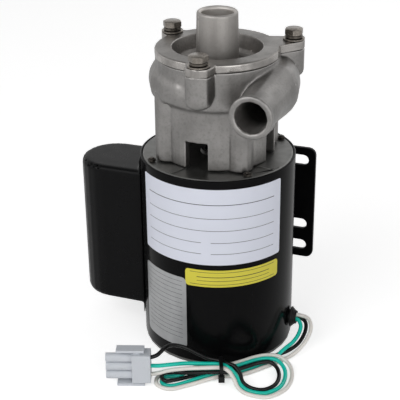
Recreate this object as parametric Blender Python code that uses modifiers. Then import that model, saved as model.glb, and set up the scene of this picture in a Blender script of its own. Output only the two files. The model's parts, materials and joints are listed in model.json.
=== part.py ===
"""Close-coupled recirculating pump: a small vertical motor with a stainless volute pump on its top end.

Units are metres, +Z is up along the shaft, and the origin is on the shaft's axis in the plane that the
motor stands on. The discharge points to -Y, the mounting plate is at +Y, the capacitor cover at -X and
the leads leave the motor at +X.
"""
import math

import bmesh
import bpy
from mathutils import Matrix, Vector

# Fits
FIT = 0.0003                    # clearance left between neighbouring solids
RUNNING = 0.0005                # clearance at a surface that turns past another

# Motor shell and endshields
SHELL_RADIUS = 0.0508
SHELL_WALL = 0.0012
SHELL_BOTTOM = 0.0025           # lower edge above the standing plane
SHELL_TOP = 0.1340
ENDSHIELD_PROUD = 0.0002        # front endshield above the shell's edge
FRONT_WEB = 0.0060              # thickness of the front endshield's disc
POCKET_BELOW_DISC = 0.0042      # front bearing's pocket under the disc
REAR_WEB = 0.0036
REAR_RIM_HEIGHT = 0.0090
PAD_HEIGHT = 0.0006             # seat pads that carry the lantern
SHAFT_COLLAR_HEIGHT = 0.0020    # ring round the shaft hole that keeps water out
SHAFT_COLLAR_WALL = 0.0030

# Through bolts
THROUGH_BOLT_COUNT = 4
THROUGH_BOLT_CIRCLE = 0.0460
THROUGH_BOLT_RADIUS = 0.0016
THROUGH_BOLT_HEAD = 0.0029
THROUGH_BOLT_HEAD_HEIGHT = 0.0030
THROUGH_NUT_RADIUS = 0.0028
THROUGH_NUT_HEIGHT = 0.0024
THROUGH_BOLT_END = 0.0012       # thread that stands past the nut

# Shaft and bearings
SHAFT_RADIUS = 0.00635
JOURNAL_RADIUS = 0.0072
ROTOR_SEAT_RADIUS = 0.0090
IMPELLER_SEAT_RADIUS = 0.0050
BEARING_OUTSIDE = 0.0350
BEARING_WIDTH = 0.0110
BEARING_BALLS = 7
BALL_RADIUS = 0.0028
RACE_WALL = 0.0026
CAGE_WALL = 0.0010
CAGE_HEIGHT = 0.0036
BEARING_HOUSING_WALL = 0.0038
WAVE_WASHER_THICKNESS = 0.0005

# Stator and rotor
CORE_BOTTOM = 0.0400
CORE_LENGTH = 0.0550
STATOR_BORE = 0.0268
STATOR_SLOTS = 12
SLOT_DEPTH = 0.0125
SLOT_WIDTH = 0.0070
SLOT_MOUTH = 0.0022
END_TURN_HEIGHT = 0.0110
AIR_GAP = 0.0006
ROTOR_STEPS = 24
END_RING_HEIGHT = 0.0060

# Lantern and volute casing
LANTERN_TURN = math.radians(-1.8)
LANTERN_RADIUS = 0.0371
LANTERN_WALL = 0.0066
LANTERN_CEILING = 0.1530
COLUMN_CIRCLE = 0.0344
COLUMN_RADIUS = 0.00835
WINDOW_WIDTH = 0.0148
WINDOW_HEIGHT = 0.0178
COLUMN_SCREW_RADIUS = 0.0020
COLUMN_SCREW_HEAD = 0.0036
COLUMN_SCREW_DEPTH = 0.0150
DRUM_RADIUS = 0.0394
DRUM_BOTTOM = 0.1700
FLANGE_PLANE = 0.1996
SCROLL_REACH = 0.0536           # outside of the scroll at its widest
SCROLL_START = math.radians(-70.0)
SCROLL_GROWTH = 0.86
WATERWAY_CENTRE = 0.1798
NOZZLE_OFFSET = 0.0386
NOZZLE_END = 0.0523
NOZZLE_RADIUS = 0.0130
NOZZLE_BORE = 0.0100
THROAT_RADIUS = 0.0086
NOZZLE_NECK = 0.0125
CHAMBER_RADIUS = 0.0295
CHAMBER_FLOOR = 0.1725
CHAMBER_TOP = 0.1865
SPIGOT_RADIUS = 0.0327
BOSS_RADIUS = 0.0071
BOSS_DROP = 0.0183              # boss length under the flange plane
BOSS_SPLAY = math.radians(17.0)
SEAL_CHAMBER_RADIUS = 0.0150
SEAL_CHAMBER_FLOOR = 0.1620
SEAL_SEAT_RADIUS = 0.0114
SEAL_SEAT_BORE = 0.0078
SEAL_SEAT_HEIGHT = 0.0055
SHAFT_HOLE_RADIUS = 0.0085

# Ears: angle about the shaft and distance of the bolt from it
EARS = {
    "front": (math.radians(-85.4), 0.0437),
    "right": (math.radians(33.1), 0.0498),
    "left": (math.radians(154.0), 0.0419),
}

# Suction cover
COVER_THICKNESS = 0.0053
COVER_RADIUS = 0.0396
COVER_SPIGOT_DEPTH = 0.0128
RECESS_RADIUS = 0.0284
RECESS_DEPTH = 0.0127
SUCTION_TOP = 0.2275
SUCTION_RADIUS = 0.0130
SUCTION_BASE_RADIUS = 0.0136
SUCTION_BORE = 0.0103
ORING_SECTION = 0.0011
ORING_GROOVE_WIDTH = 0.0030
ORING_BELOW_FLANGE = 0.0062

# Impeller
IMPELLER_RADIUS = 0.0265
IMPELLER_BACK = 0.1722
BACK_SHROUD_TOP = 0.1768
SHROUD_THICKNESS = 0.0024
PASSAGE_HEIGHT = 0.0060
IMPELLER_HUB_RADIUS = 0.0112
NECK_RADIUS = 0.0127
NECK_TOP = 0.1892
IMPELLER_HUB_RISE = 0.0073      # hub above the back shroud
SHAFT_END_RISE = 0.0070         # shaft above the back shroud
IMPELLER_SCREW_RADIUS = 0.0024
VANE_COUNT = 6
VANE_THICKNESS = 0.0016
VANE_ROOT = 0.0100
VANE_SWEEP = math.radians(80.0)

# Cover bolts
BOLT_RADIUS = 0.0030
BOLT_HOLE_RADIUS = 0.0034
BOLT_DEPTH = 0.0115             # below the flange plane
BOLT_HEAD_RADIUS = 0.0062       # across corners
BOLT_HEAD_HEIGHT = 0.0040
FLAT_WASHER_RADIUS = 0.0070
FLAT_WASHER_THICKNESS = 0.0010
LOCK_WASHER_RADIUS = 0.0056
LOCK_WASHER_THICKNESS = 0.0015

# Mounting plate
PLATE_THICKNESS = 0.0025
PLATE_HALF_WIDTH = 0.0528
PLATE_BOTTOM = 0.0376
PLATE_TOP = 0.1214
PLATE_CORNER = 0.0050
SLOT_HEIGHTS = (0.0470, 0.0635, 0.1123)
PLATE_SLOT_WIDTH = 0.0075
PLATE_SLOT_LENGTH = 0.0140
PLATE_SLOT_OUTER = 0.0480
WELD_REACH = 0.0150
WELD_START = 0.0075

# Capacitor cover
CAPACITOR_AXIS = 0.0742         # its round side's centre, along -X
CAPACITOR_COVER_RADIUS = 0.02235
CAPACITOR_COVER_WALL = 0.0009
CAPACITOR_BOTTOM = 0.0208
CAPACITOR_TOP = 0.1209
CAPACITOR_EDGE = 0.0028
FLANGE_HEIGHT = 0.0078
FLANGE_HALF_ANGLE = math.radians(24.0)
SCREW_RADIUS = 0.0014
SCREW_HEAD_RADIUS = 0.0028
SCREW_HEAD_HEIGHT = 0.0017
SCREW_LENGTH = 0.0045
CAPACITOR_LEAD_HOLE = 0.0060
CAN_RADIUS = 0.0175
CAN_HEIGHT = 0.0820

# Lead bushing
LEAD_EXIT_ANGLE = math.radians(3.7)
LEAD_EXIT_HEIGHT = 0.0160
BUSHING_FLANGE_RADIUS = 0.0070
BUSHING_BARREL_RADIUS = 0.0049
BUSHING_BORE = 0.0034
BUSHING_LENGTH = 0.0050         # outside the shell

# Leads, tie and plug
LEAD_RADIUS = 0.00135
LEAD_GAP = 0.0003
TIE_CENTRE = (0.0225, -0.0585)
TIE_ANGLE = math.radians(-68.3)         # across the bundle, towards its front lane
TIE_LANE = 0.0040
TIE_LAYERS = (0.0026, 0.0059, 0.0092)
TIE_WIDTH = 0.0024
TIE_THICKNESS = 0.0007
TIE_SIDE_GAP = 0.0015                    # the strands cross the band at a small angle
TIE_LAYER_GAP = 0.0005
PLUG_REAR = (-0.0173, -0.0810)
PLUG_ANGLE = math.radians(18.7)         # from the silos' end towards the wires
PLUG_PITCH = 0.00635
PLUG_MIDDLE = 0.0135                    # height of its middle circuit
PLUG_LENGTH = 0.0290
PLUG_BODY_LENGTH = 0.0120
PLUG_THICKNESS = 0.0100
PLUG_BODY_HEIGHT = 0.0205
PLUG_BORE = 0.00175
SILO_RADIUS = 0.0030
WING_THICKNESS = 0.0018
WING_LENGTH = 0.0180
WING_GAP = 0.0024
LEAD_IN_PLUG = 0.0050
TERMINAL_RADIUS = 0.00135

# Worked out from the sizes above
SHELL_INSIDE = SHELL_RADIUS - SHELL_WALL
SPIGOT_OUTSIDE = SHELL_INSIDE - FIT
ENDSHIELD_TOP = SHELL_TOP + ENDSHIELD_PROUD
PAD_TOP = ENDSHIELD_TOP + PAD_HEIGHT
LANTERN_FOOT = PAD_TOP + FIT
LANTERN_INSIDE = LANTERN_RADIUS - LANTERN_WALL
FRONT_DISC_BOTTOM = ENDSHIELD_TOP - FRONT_WEB
COVER_BOTTOM = FLANGE_PLANE + FIT
COVER_TOP = COVER_BOTTOM + COVER_THICKNESS
SPIGOT_BOTTOM = COVER_BOTTOM - COVER_SPIGOT_DEPTH
CORE_TOP = CORE_BOTTOM + CORE_LENGTH
REAR_BEARING = REAR_WEB + FIT + WAVE_WASHER_THICKNESS + FIT
FRONT_POCKET_TOP = FRONT_DISC_BOTTOM - POCKET_BELOW_DISC
FRONT_BEARING = FRONT_POCKET_TOP - FIT - BEARING_WIDTH
IMPELLER_HUB_TOP = BACK_SHROUD_TOP + IMPELLER_HUB_RISE
SHAFT_END = BACK_SHROUD_TOP + SHAFT_END_RISE
FULL_TURN = 2.0 * math.pi


def empty_scene():
    """Remove whatever the file opened with."""
    for old in list(bpy.data.objects):
        bpy.data.objects.remove(old, do_unlink=True)


empty_scene()
parts = bpy.data.collections.new("recirculating_pump")
cutters = bpy.data.collections.new("cutters")
bpy.context.scene.collection.children.link(parts)
bpy.context.scene.collection.children.link(cutters)


# Materials

def material(name, colour, roughness, metallic):
    """A Principled material of one colour."""
    made = bpy.data.materials.new(name)
    made.use_nodes = True
    shader = made.node_tree.nodes["Principled BSDF"]
    shader.inputs["Base Color"].default_value = (*colour, 1.0)
    shader.inputs["Roughness"].default_value = roughness
    shader.inputs["Metallic"].default_value = metallic
    made.diffuse_color = (*colour, 1.0)
    return made


CAST_STEEL = dict(colour=(0.28, 0.26, 0.24), roughness=0.42, metallic=1.0)
BRIGHT_STEEL = dict(colour=(0.55, 0.53, 0.50), roughness=0.25, metallic=1.0)
CAST_ALUMINIUM = dict(colour=(0.36, 0.36, 0.36), roughness=0.50, metallic=1.0)
BLACK_PAINT = dict(colour=(0.012, 0.012, 0.013), roughness=0.30, metallic=0.0)
BLACK_STEEL = dict(colour=(0.03, 0.03, 0.03), roughness=0.45, metallic=0.8)
LAMINATION = dict(colour=(0.20, 0.20, 0.21), roughness=0.55, metallic=1.0)
COPPER = dict(colour=(0.55, 0.22, 0.09), roughness=0.35, metallic=1.0)
RUBBER = dict(colour=(0.015, 0.015, 0.016), roughness=0.75, metallic=0.0)
CERAMIC = dict(colour=(0.75, 0.74, 0.70), roughness=0.30, metallic=0.0)
NYLON = dict(colour=(0.62, 0.66, 0.70), roughness=0.35, metallic=0.0)
BRASS = dict(colour=(0.60, 0.45, 0.18), roughness=0.30, metallic=1.0)
BLACK_NYLON = dict(colour=(0.015, 0.015, 0.016), roughness=0.45, metallic=0.0)
GREEN_LEAD = dict(colour=(0.01, 0.42, 0.30), roughness=0.40, metallic=0.0)
WHITE_LEAD = dict(colour=(0.72, 0.69, 0.65), roughness=0.45, metallic=0.0)
BLACK_LEAD = dict(colour=(0.015, 0.015, 0.018), roughness=0.40, metallic=0.0)


# Shapes

def as_tool(obj):
    """Keep a cutter or a shape to be joined out of the model itself."""
    cutters.objects.link(obj)
    obj.hide_render = True
    obj.display_type = "WIRE"
    return obj


def turned(name, profile, steps=48, ring=False):
    """A shape turned about Z: (radius, height) points run down the outer side, top to bottom."""
    count = len(profile)
    edges = [(i, i + 1) for i in range(count - 1)]
    if ring:
        edges.append((count - 1, 0))
    mesh = bpy.data.meshes.new(name)
    mesh.from_pydata([(r, 0.0, z) for r, z in profile], edges, [])
    obj = bpy.data.objects.new(name, mesh)
    screw = obj.modifiers.new("turn", "SCREW")
    screw.axis = "Z"
    screw.angle = FULL_TURN
    screw.steps = steps
    screw.render_steps = steps
    screw.use_merge_vertices = True
    screw.merge_threshold = 0.00001
    return obj


def ring_profile(outer, inner, bottom, top):
    """The profile of a plain ring."""
    return [(outer, top), (outer, bottom), (inner, bottom), (inner, top)]


def cylinder(name, radius, bottom, top, at=(0.0, 0.0), sides=24, tip=None):
    """An upright cylinder or cone between two heights."""
    bm = bmesh.new()
    bmesh.ops.create_cone(
        bm, cap_ends=True, segments=sides, radius1=radius,
        radius2=radius if tip is None else tip, depth=top - bottom,
    )
    mesh = bpy.data.meshes.new(name)
    bm.to_mesh(mesh)
    bm.free()
    obj = bpy.data.objects.new(name, mesh)
    obj.location = (at[0], at[1], 0.5 * (bottom + top))
    return obj


def box(name, size, centre, turn=0.0):
    """A box of the given size, turned about Z."""
    bm = bmesh.new()
    bmesh.ops.create_cube(bm, size=1.0)
    bmesh.ops.scale(bm, vec=size, verts=bm.verts)
    mesh = bpy.data.meshes.new(name)
    bm.to_mesh(mesh)
    bm.free()
    obj = bpy.data.objects.new(name, mesh)
    obj.location = centre
    obj.rotation_euler = (0.0, 0.0, turn)
    return obj


def mesh_of(obj):
    """The evaluated mesh of an object, with a curve's loose caps welded."""
    bpy.context.view_layer.update()
    depsgraph = bpy.context.evaluated_depsgraph_get()
    mesh = bpy.data.meshes.new_from_object(obj.evaluated_get(depsgraph))
    if obj.type == "CURVE":
        bm = bmesh.new()
        bm.from_mesh(mesh)
        bmesh.ops.remove_doubles(bm, verts=bm.verts, dist=0.000001)
        bm.to_mesh(mesh)
        bm.free()
    return mesh


def curve_to_mesh(name, curve_object):
    """Swap a curve object for a mesh object in the same place."""
    bpy.context.scene.collection.objects.link(curve_object)
    mesh = mesh_of(curve_object)
    place = curve_object.matrix_world.copy()
    bpy.data.objects.remove(curve_object, do_unlink=True)
    obj = bpy.data.objects.new(name, mesh)
    obj.matrix_world = place
    return obj


def prism(name, outlines, bottom, top):
    """A flat outline, with its holes, given thickness between two heights."""
    curve = bpy.data.curves.new(name, "CURVE")
    curve.dimensions = "2D"
    curve.fill_mode = "BOTH"
    curve.extrude = 0.5 * (top - bottom)
    for outline in outlines:
        spline = curve.splines.new("POLY")
        spline.points.add(len(outline) - 1)
        spline.use_cyclic_u = True
        for point, (x, y) in zip(spline.points, outline):
            point.co = (x, y, 0.0, 1.0)
    made = bpy.data.objects.new(name, curve)
    made.location = (0.0, 0.0, 0.5 * (bottom + top))
    return curve_to_mesh(name, made)


def tube(name, points, radius, resolution=2):
    """A round wire along a line of points."""
    curve = bpy.data.curves.new(name, "CURVE")
    curve.dimensions = "3D"
    curve.bevel_depth = radius
    curve.bevel_resolution = resolution
    curve.use_fill_caps = True
    spline = curve.splines.new("POLY")
    spline.points.add(len(points) - 1)
    for point, place in zip(spline.points, points):
        point.co = (*place, 1.0)
    return bpy.data.objects.new(name, curve)


def loft(name, sections):
    """A skin through rings of equal point count, closed by a face at each end."""
    bm = bmesh.new()
    rings = [[bm.verts.new(point) for point in section] for section in sections]
    count = len(rings[0])
    for here, there in zip(rings, rings[1:]):
        for i in range(count):
            j = (i + 1) % count
            bm.faces.new((here[i], here[j], there[j], there[i]))
    bm.faces.new(list(reversed(rings[0])))
    bm.faces.new(rings[-1])
    bmesh.ops.recalc_face_normals(bm, faces=bm.faces)
    mesh = bpy.data.meshes.new(name)
    bm.to_mesh(mesh)
    bm.free()
    return bpy.data.objects.new(name, mesh)


def combine(target, tools, operation):
    """Add a Boolean to an object for each tool, which joins the cutters' collection."""
    for tool in tools:
        as_tool(tool)
        step = target.modifiers.new(tool.name, "BOOLEAN")
        step.operation = operation
        step.solver = "EXACT"
        step.object = tool


def cut(target, *tools):
    combine(target, tools, "DIFFERENCE")


def join(target, *tools):
    combine(target, tools, "UNION")


def part(obj, finish, parent=None):
    """Put a finished piece in the model: its shape, smooth shading, material and parent."""
    name = obj.name
    parts.objects.link(obj)
    if obj.type == "MESH":
        obj.data = mesh_of(obj)
        obj.modifiers.clear()
        obj.data.name = name
        obj.data.shade_smooth()
        obj.data.set_sharp_from_angle(angle=math.radians(35.0))
    obj.data.materials.clear()
    obj.data.materials.append(material(name, **finish))
    if parent is not None:
        obj.parent = parent
    return obj


def group(name, pieces):
    """Several separate solids held as one object."""
    bm = bmesh.new()
    for piece in pieces:
        cutters.objects.link(piece)
        mesh = mesh_of(piece)
        mesh.transform(piece.matrix_world)
        bm.from_mesh(mesh)
        bpy.data.objects.remove(piece, do_unlink=True)
    mesh = bpy.data.meshes.new(name)
    bm.to_mesh(mesh)
    bm.free()
    return bpy.data.objects.new(name, mesh)


def polar(radius, angle):
    return (radius * math.cos(angle), radius * math.sin(angle))


def arc(radius, start, end, steps, centre=(0.0, 0.0)):
    """Points along an arc, both ends included."""
    points = []
    for i in range(steps + 1):
        x, y = polar(radius, start + (end - start) * i / steps)
        points.append((centre[0] + x, centre[1] + y))
    return points


def quarter_angles():
    """The four diagonal directions in which columns and through bolts stand."""
    return [LANTERN_TURN + math.radians(45.0 + 90.0 * i) for i in range(4)]


def window_angles():
    return [LANTERN_TURN + math.radians(90.0 * i) for i in range(4)]


# Moving assembly: everything on the shaft hangs from this empty
rotor_axis = bpy.data.objects.new("rotor_axis", None)
parts.objects.link(rotor_axis)


# Motor

def flange_screw_height(end):
    """Height of the screw in the capacitor cover's upper (1) or lower (-1) flange."""
    edge = CAPACITOR_TOP if end > 0 else CAPACITOR_BOTTOM
    return edge + end * 0.5 * FLANGE_HEIGHT


def flange_screw_hole(name, end):
    hole = cylinder(name, SCREW_RADIUS + FIT, -0.006, 0.006, sides=16)
    hole.location = (-SHELL_RADIUS, 0.0, flange_screw_height(end))
    hole.rotation_euler = (0.0, math.radians(90.0), 0.0)
    return hole


def motor_shell():
    shell = turned("motor_shell", ring_profile(SHELL_RADIUS, SHELL_INSIDE, SHELL_BOTTOM, SHELL_TOP), 56, True)
    hole = cylinder("lead_hole", BUSHING_BARREL_RADIUS + FIT, -0.02, 0.02, sides=20)
    x, y = polar(SHELL_RADIUS, LEAD_EXIT_ANGLE)
    hole.location = (x, y, LEAD_EXIT_HEIGHT)
    hole.rotation_euler = (0.0, math.radians(90.0), LEAD_EXIT_ANGLE)
    entry = cylinder("capacitor_lead_entry", CAPACITOR_LEAD_HOLE, -0.006, 0.006, sides=20)
    entry.location = (-SHELL_RADIUS, 0.0, 0.5 * (CAPACITOR_BOTTOM + CAPACITOR_TOP))
    entry.rotation_euler = (0.0, math.radians(90.0), 0.0)
    cut(shell, hole, entry, flange_screw_hole("shell_screw_hole_upper", 1.0),
        flange_screw_hole("shell_screw_hole_lower", -1.0))
    part(shell, BLACK_PAINT)


def through_bolt_holes(name, bottom, top, radius):
    return group(name, [
        cylinder(f"{name}_{i}", radius, bottom, top, polar(THROUGH_BOLT_CIRCLE, angle), 10)
        for i, angle in enumerate(quarter_angles())
    ])


def rear_endshield():
    """Flat-bottomed end casting with the rear bearing's pocket and sunk bolt heads."""
    pocket = 0.5 * BEARING_OUTSIDE + FIT
    housing = pocket + BEARING_HOUSING_WALL
    housing_top = REAR_WEB + FIT + WAVE_WASHER_THICKNESS + FIT + BEARING_WIDTH + FIT
    rim_inside = THROUGH_BOLT_CIRCLE - 0.0045
    flange_top = SHELL_BOTTOM - FIT
    body = turned("rear_endshield", [
        (0.0, REAR_WEB), (pocket, REAR_WEB), (pocket, housing_top), (housing, housing_top),
        (housing + 0.001, REAR_WEB), (rim_inside, REAR_WEB), (rim_inside, REAR_RIM_HEIGHT),
        (SPIGOT_OUTSIDE, REAR_RIM_HEIGHT), (SPIGOT_OUTSIDE, flange_top),
        (SHELL_RADIUS - 0.0004, flange_top), (SHELL_RADIUS - 0.0004, 0.0006),
        (SHELL_RADIUS - 0.0010, 0.0), (0.0, 0.0),
    ], 32)
    heads = through_bolt_holes("rear_head_pockets", -0.001, THROUGH_BOLT_HEAD_HEIGHT + 3.0 * FIT,
                               THROUGH_BOLT_HEAD + 2.0 * FIT)
    holes = through_bolt_holes("rear_bolt_holes", -0.001, REAR_RIM_HEIGHT + 0.001, THROUGH_BOLT_RADIUS + FIT)
    groove = turned("foot_groove", ring_profile(0.0385, housing + 0.002, -0.001, 0.0010), 40, True)
    cut(body, groove, heads, holes)
    part(body, BLACK_PAINT)


def seat_pad(name, window):
    """A raised pad beside a window, narrower towards the rim."""
    outline = [
        polar(LANTERN_INSIDE - 0.001, window - math.radians(28.0)),
        polar(LANTERN_RADIUS, window - math.radians(27.5)),
        polar(SPIGOT_OUTSIDE - 0.0010, window - math.radians(22.0)),
        polar(SPIGOT_OUTSIDE - 0.0010, window - math.radians(15.5)),
        polar(LANTERN_RADIUS, window - math.radians(12.3)),
        polar(LANTERN_INSIDE - 0.001, window - math.radians(14.5)),
    ]
    return prism(name, [outline], ENDSHIELD_TOP - 0.001, PAD_TOP)


def front_endshield():
    """Cast end disc with bearing housing below, and seat pads, bolt holes and shaft collar above."""
    pocket = 0.5 * BEARING_OUTSIDE + FIT
    housing = pocket + BEARING_HOUSING_WALL
    pocket_top = FRONT_POCKET_TOP
    housing_bottom = pocket_top - FIT - BEARING_WIDTH - FIT
    collar = SHAFT_HOLE_RADIUS + SHAFT_COLLAR_WALL
    body = turned("front_endshield", [
        (SPIGOT_OUTSIDE - 0.0008, ENDSHIELD_TOP), (SPIGOT_OUTSIDE, ENDSHIELD_TOP - 0.0006),
        (SPIGOT_OUTSIDE, FRONT_DISC_BOTTOM), (housing + 0.002, FRONT_DISC_BOTTOM),
        (housing, housing_bottom), (pocket, housing_bottom), (pocket, pocket_top),
        (SHAFT_HOLE_RADIUS, pocket_top), (SHAFT_HOLE_RADIUS, ENDSHIELD_TOP + SHAFT_COLLAR_HEIGHT),
        (collar - 0.0006, ENDSHIELD_TOP + SHAFT_COLLAR_HEIGHT), (collar, ENDSHIELD_TOP),
    ], 40, True)
    for i, window in enumerate(window_angles()):
        join(body, seat_pad(f"seat_pad_{i}", window))
    holes = through_bolt_holes("front_bolt_holes", FRONT_DISC_BOTTOM - 0.001, PAD_TOP + 0.001,
                               THROUGH_BOLT_RADIUS + FIT)
    screws = group("column_screw_holes", [
        cylinder(f"column_screw_hole_{i}", COLUMN_SCREW_RADIUS + FIT, FRONT_DISC_BOTTOM - 0.001,
                 PAD_TOP + 0.001, polar(COLUMN_CIRCLE, angle), 10)
        for i, angle in enumerate(quarter_angles())
    ])
    cut(body, holes, screws)
    part(body, CAST_ALUMINIUM)


def through_bolts():
    """Long bolts from the pockets in the rear endshield to the nuts on the front one."""
    head_bottom = FIT
    head_top = head_bottom + THROUGH_BOLT_HEAD_HEIGHT
    nut_bottom = ENDSHIELD_TOP + FIT
    end = nut_bottom + THROUGH_NUT_HEIGHT + THROUGH_BOLT_END
    for i, angle in enumerate(quarter_angles(), start=1):
        place = polar(THROUGH_BOLT_CIRCLE, angle)
        bolt = cylinder(f"through_bolt_{i}", THROUGH_BOLT_HEAD, head_bottom, head_top, place, 6)
        join(bolt, cylinder(f"through_bolt_shank_{i}", THROUGH_BOLT_RADIUS, head_top - 0.0005, end, place, 12))
        part(bolt, BLACK_STEEL)
        nut = cylinder(f"through_bolt_nut_{i}", THROUGH_NUT_RADIUS, nut_bottom,
                       nut_bottom + THROUGH_NUT_HEIGHT, place, 6)
        cut(nut, cylinder(f"nut_bore_{i}", THROUGH_BOLT_RADIUS + FIT, nut_bottom - 0.001,
                          nut_bottom + THROUGH_NUT_HEIGHT + 0.001, place, 12))
        part(nut, BLACK_STEEL)


def slot_outline(index):
    """One stator slot from its mouth at the bore to its rounded bottom."""
    angle = FULL_TURN * (index + 0.5) / STATOR_SLOTS
    mouth, wide = 0.5 * SLOT_MOUTH, 0.5 * SLOT_WIDTH
    start = STATOR_BORE
    lip = STATOR_BORE + 0.0012
    shoulder = STATOR_BORE + 0.0026
    bottom = STATOR_BORE + SLOT_DEPTH
    shape = [(start, -mouth), (lip, -mouth), (shoulder, -wide), (bottom, -wide)]
    shape += [(bottom + 0.0010, 0.0)]
    shape += [(x, -y) for x, y in reversed(shape[:-1])]
    c, s = math.cos(angle), math.sin(angle)
    return [(x * c - y * s, x * s + y * c) for x, y in shape]


def stator_core():
    """Laminated ring with slots open to its bore."""
    bore = []
    for index in range(STATOR_SLOTS):
        bore += slot_outline(index)
    outside = arc(SPIGOT_OUTSIDE, 0.0, FULL_TURN, 36)[:-1]
    core = prism("stator_core", [outside, bore], CORE_BOTTOM, CORE_TOP)
    holes = through_bolt_holes("stator_bolt_holes", CORE_BOTTOM - 0.001, CORE_TOP + 0.001,
                               THROUGH_BOLT_RADIUS + FIT)
    cut(core, holes)
    part(core, LAMINATION)


def stator_windings():
    """Coil sides in the slots, joined by the bundled end turns above and below the core."""
    inside = STATOR_BORE + 0.0030
    outside = STATOR_BORE + SLOT_DEPTH
    middle = 0.5 * (inside + outside)

    def end_turns(name, low, high):
        return turned(name, [
            (middle, high), (outside, high - 0.003), (outside, low + 0.003), (middle, low),
            (inside, low + 0.003), (inside, high - 0.003),
        ], 20, True)

    coil = end_turns("stator_windings", CORE_TOP + FIT, CORE_TOP + FIT + END_TURN_HEIGHT)
    lower = end_turns("lower_end_turns", CORE_BOTTOM - FIT - END_TURN_HEIGHT, CORE_BOTTOM - FIT)
    sides = []
    for index in range(STATOR_SLOTS):
        angle = FULL_TURN * (index + 0.5) / STATOR_SLOTS
        x, y = polar(middle, angle)
        size = (outside - inside - 2.0 * FIT, SLOT_WIDTH - 2.0 * FIT, CORE_LENGTH + 0.008)
        sides.append(box(f"coil_side_{index}", size, (x, y, 0.5 * (CORE_BOTTOM + CORE_TOP)), angle))
    join(coil, lower, group("coil_sides", sides))
    part(coil, COPPER)


def rotor_core():
    """Laminated rotor with cast end rings and short fan blades."""
    outside = STATOR_BORE * math.cos(0.5 * FULL_TURN / ROTOR_STEPS) - AIR_GAP
    bore = ROTOR_SEAT_RADIUS + FIT
    bottom, top = CORE_BOTTOM - END_RING_HEIGHT, CORE_TOP + END_RING_HEIGHT
    ring_inside = 0.0160
    core = turned("rotor_core", [
        (outside - 0.0008, top), (outside - 0.0008, CORE_TOP), (outside, CORE_TOP), (outside, CORE_BOTTOM),
        (outside - 0.0008, CORE_BOTTOM), (outside - 0.0008, bottom), (ring_inside, bottom),
        (ring_inside, CORE_BOTTOM), (bore, CORE_BOTTOM), (bore, CORE_TOP), (ring_inside, CORE_TOP),
        (ring_inside, top),
    ], ROTOR_STEPS, True)
    blades = []
    for index in range(6):
        angle = FULL_TURN * index / 6
        x, y = polar(0.0212, angle)
        blades.append(box(f"fan_blade_{index}", (0.0070, 0.0012, 0.0062), (x, y, top + 0.0028), angle))
    join(core, group("fan_blades", blades))
    part(core, LAMINATION, rotor_axis)


def motor_shaft():
    """Stepped shaft with journals, rotor seat, seal length and impeller seat with a tapped end."""
    end = SHAFT_END
    front_shoulder = FRONT_BEARING - FIT
    rear_shoulder = REAR_BEARING + BEARING_WIDTH + FIT
    tapped = IMPELLER_SCREW_RADIUS + FIT
    shaft = turned("motor_shaft", [
        (0.0, end - 0.0100), (tapped, end - 0.0100), (tapped, end), (IMPELLER_SEAT_RADIUS, end), (IMPELLER_SEAT_RADIUS, IMPELLER_BACK - FIT),
        (SHAFT_RADIUS, IMPELLER_BACK - FIT), (SHAFT_RADIUS, FRONT_BEARING + BEARING_WIDTH + 0.0005),
        (JOURNAL_RADIUS, FRONT_BEARING + BEARING_WIDTH), (JOURNAL_RADIUS, front_shoulder),
        (ROTOR_SEAT_RADIUS, front_shoulder), (ROTOR_SEAT_RADIUS, rear_shoulder),
        (JOURNAL_RADIUS, rear_shoulder), (JOURNAL_RADIUS, REAR_BEARING + 0.0004),
        (JOURNAL_RADIUS - 0.0006, REAR_BEARING), (0.0, REAR_BEARING),
    ], 20)
    part(shaft, BRIGHT_STEEL, rotor_axis)


def bearing(prefix, bottom):
    """A ball bearing as its three kinds of piece, the inner race on the shaft."""
    top = bottom + BEARING_WIDTH
    middle = 0.5 * (bottom + top)
    outside = 0.5 * BEARING_OUTSIDE
    bore = JOURNAL_RADIUS + FIT
    track = 0.5 * (outside + bore)
    groove = BALL_RADIUS + FIT

    def groove_points(side, start, end):
        points = []
        for i in range(3):
            angle = math.radians(start + (end - start) * i / 2)
            points.append((track + side * groove * math.cos(angle), middle + groove * math.sin(angle)))
        return points

    outer_inside = outside - RACE_WALL
    inner_outside = bore + RACE_WALL
    open_outer = math.degrees(math.acos((outer_inside - track) / groove))
    open_inner = math.degrees(math.acos((track - inner_outside) / groove))
    outer = turned(f"{prefix}_bearing_outer_race", [
        (outside, top), (outside, bottom), (outer_inside, bottom),
        *groove_points(1.0, -open_outer, open_outer), (outer_inside, top),
    ], 18, True)
    part(outer, BRIGHT_STEEL)
    inner = turned(f"{prefix}_bearing_inner_race", [
        (inner_outside, top), *groove_points(-1.0, open_inner, -open_inner),
        (inner_outside, bottom), (bore, bottom), (bore, top),
    ], 18, True)
    part(inner, BRIGHT_STEEL, rotor_axis)
    cage = turned(f"{prefix}_bearing_balls_and_cage", ring_profile(
        track + 0.5 * CAGE_WALL, track - 0.5 * CAGE_WALL, middle - 0.5 * CAGE_HEIGHT, middle + 0.5 * CAGE_HEIGHT,
    ), 21, True)
    bm = bmesh.new()
    for i in range(BEARING_BALLS):
        x, y = polar(track, FULL_TURN * i / BEARING_BALLS)
        bmesh.ops.create_icosphere(bm, subdivisions=1, radius=BALL_RADIUS, matrix=Matrix.Translation((x, y, middle)))
    mesh = bpy.data.meshes.new(f"{prefix}_balls")
    bm.to_mesh(mesh)
    bm.free()
    join(cage, bpy.data.objects.new(f"{prefix}_balls", mesh))
    part(cage, BRIGHT_STEEL, rotor_axis)


def wave_washer():
    bottom = REAR_WEB + FIT
    ring = turned("wave_washer", ring_profile(0.5 * BEARING_OUTSIDE - FIT, 0.5 * BEARING_OUTSIDE - 0.0030,
                                              bottom, bottom + WAVE_WASHER_THICKNESS), 24, True)
    part(ring, BRIGHT_STEEL)


# Mounting plate

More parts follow.
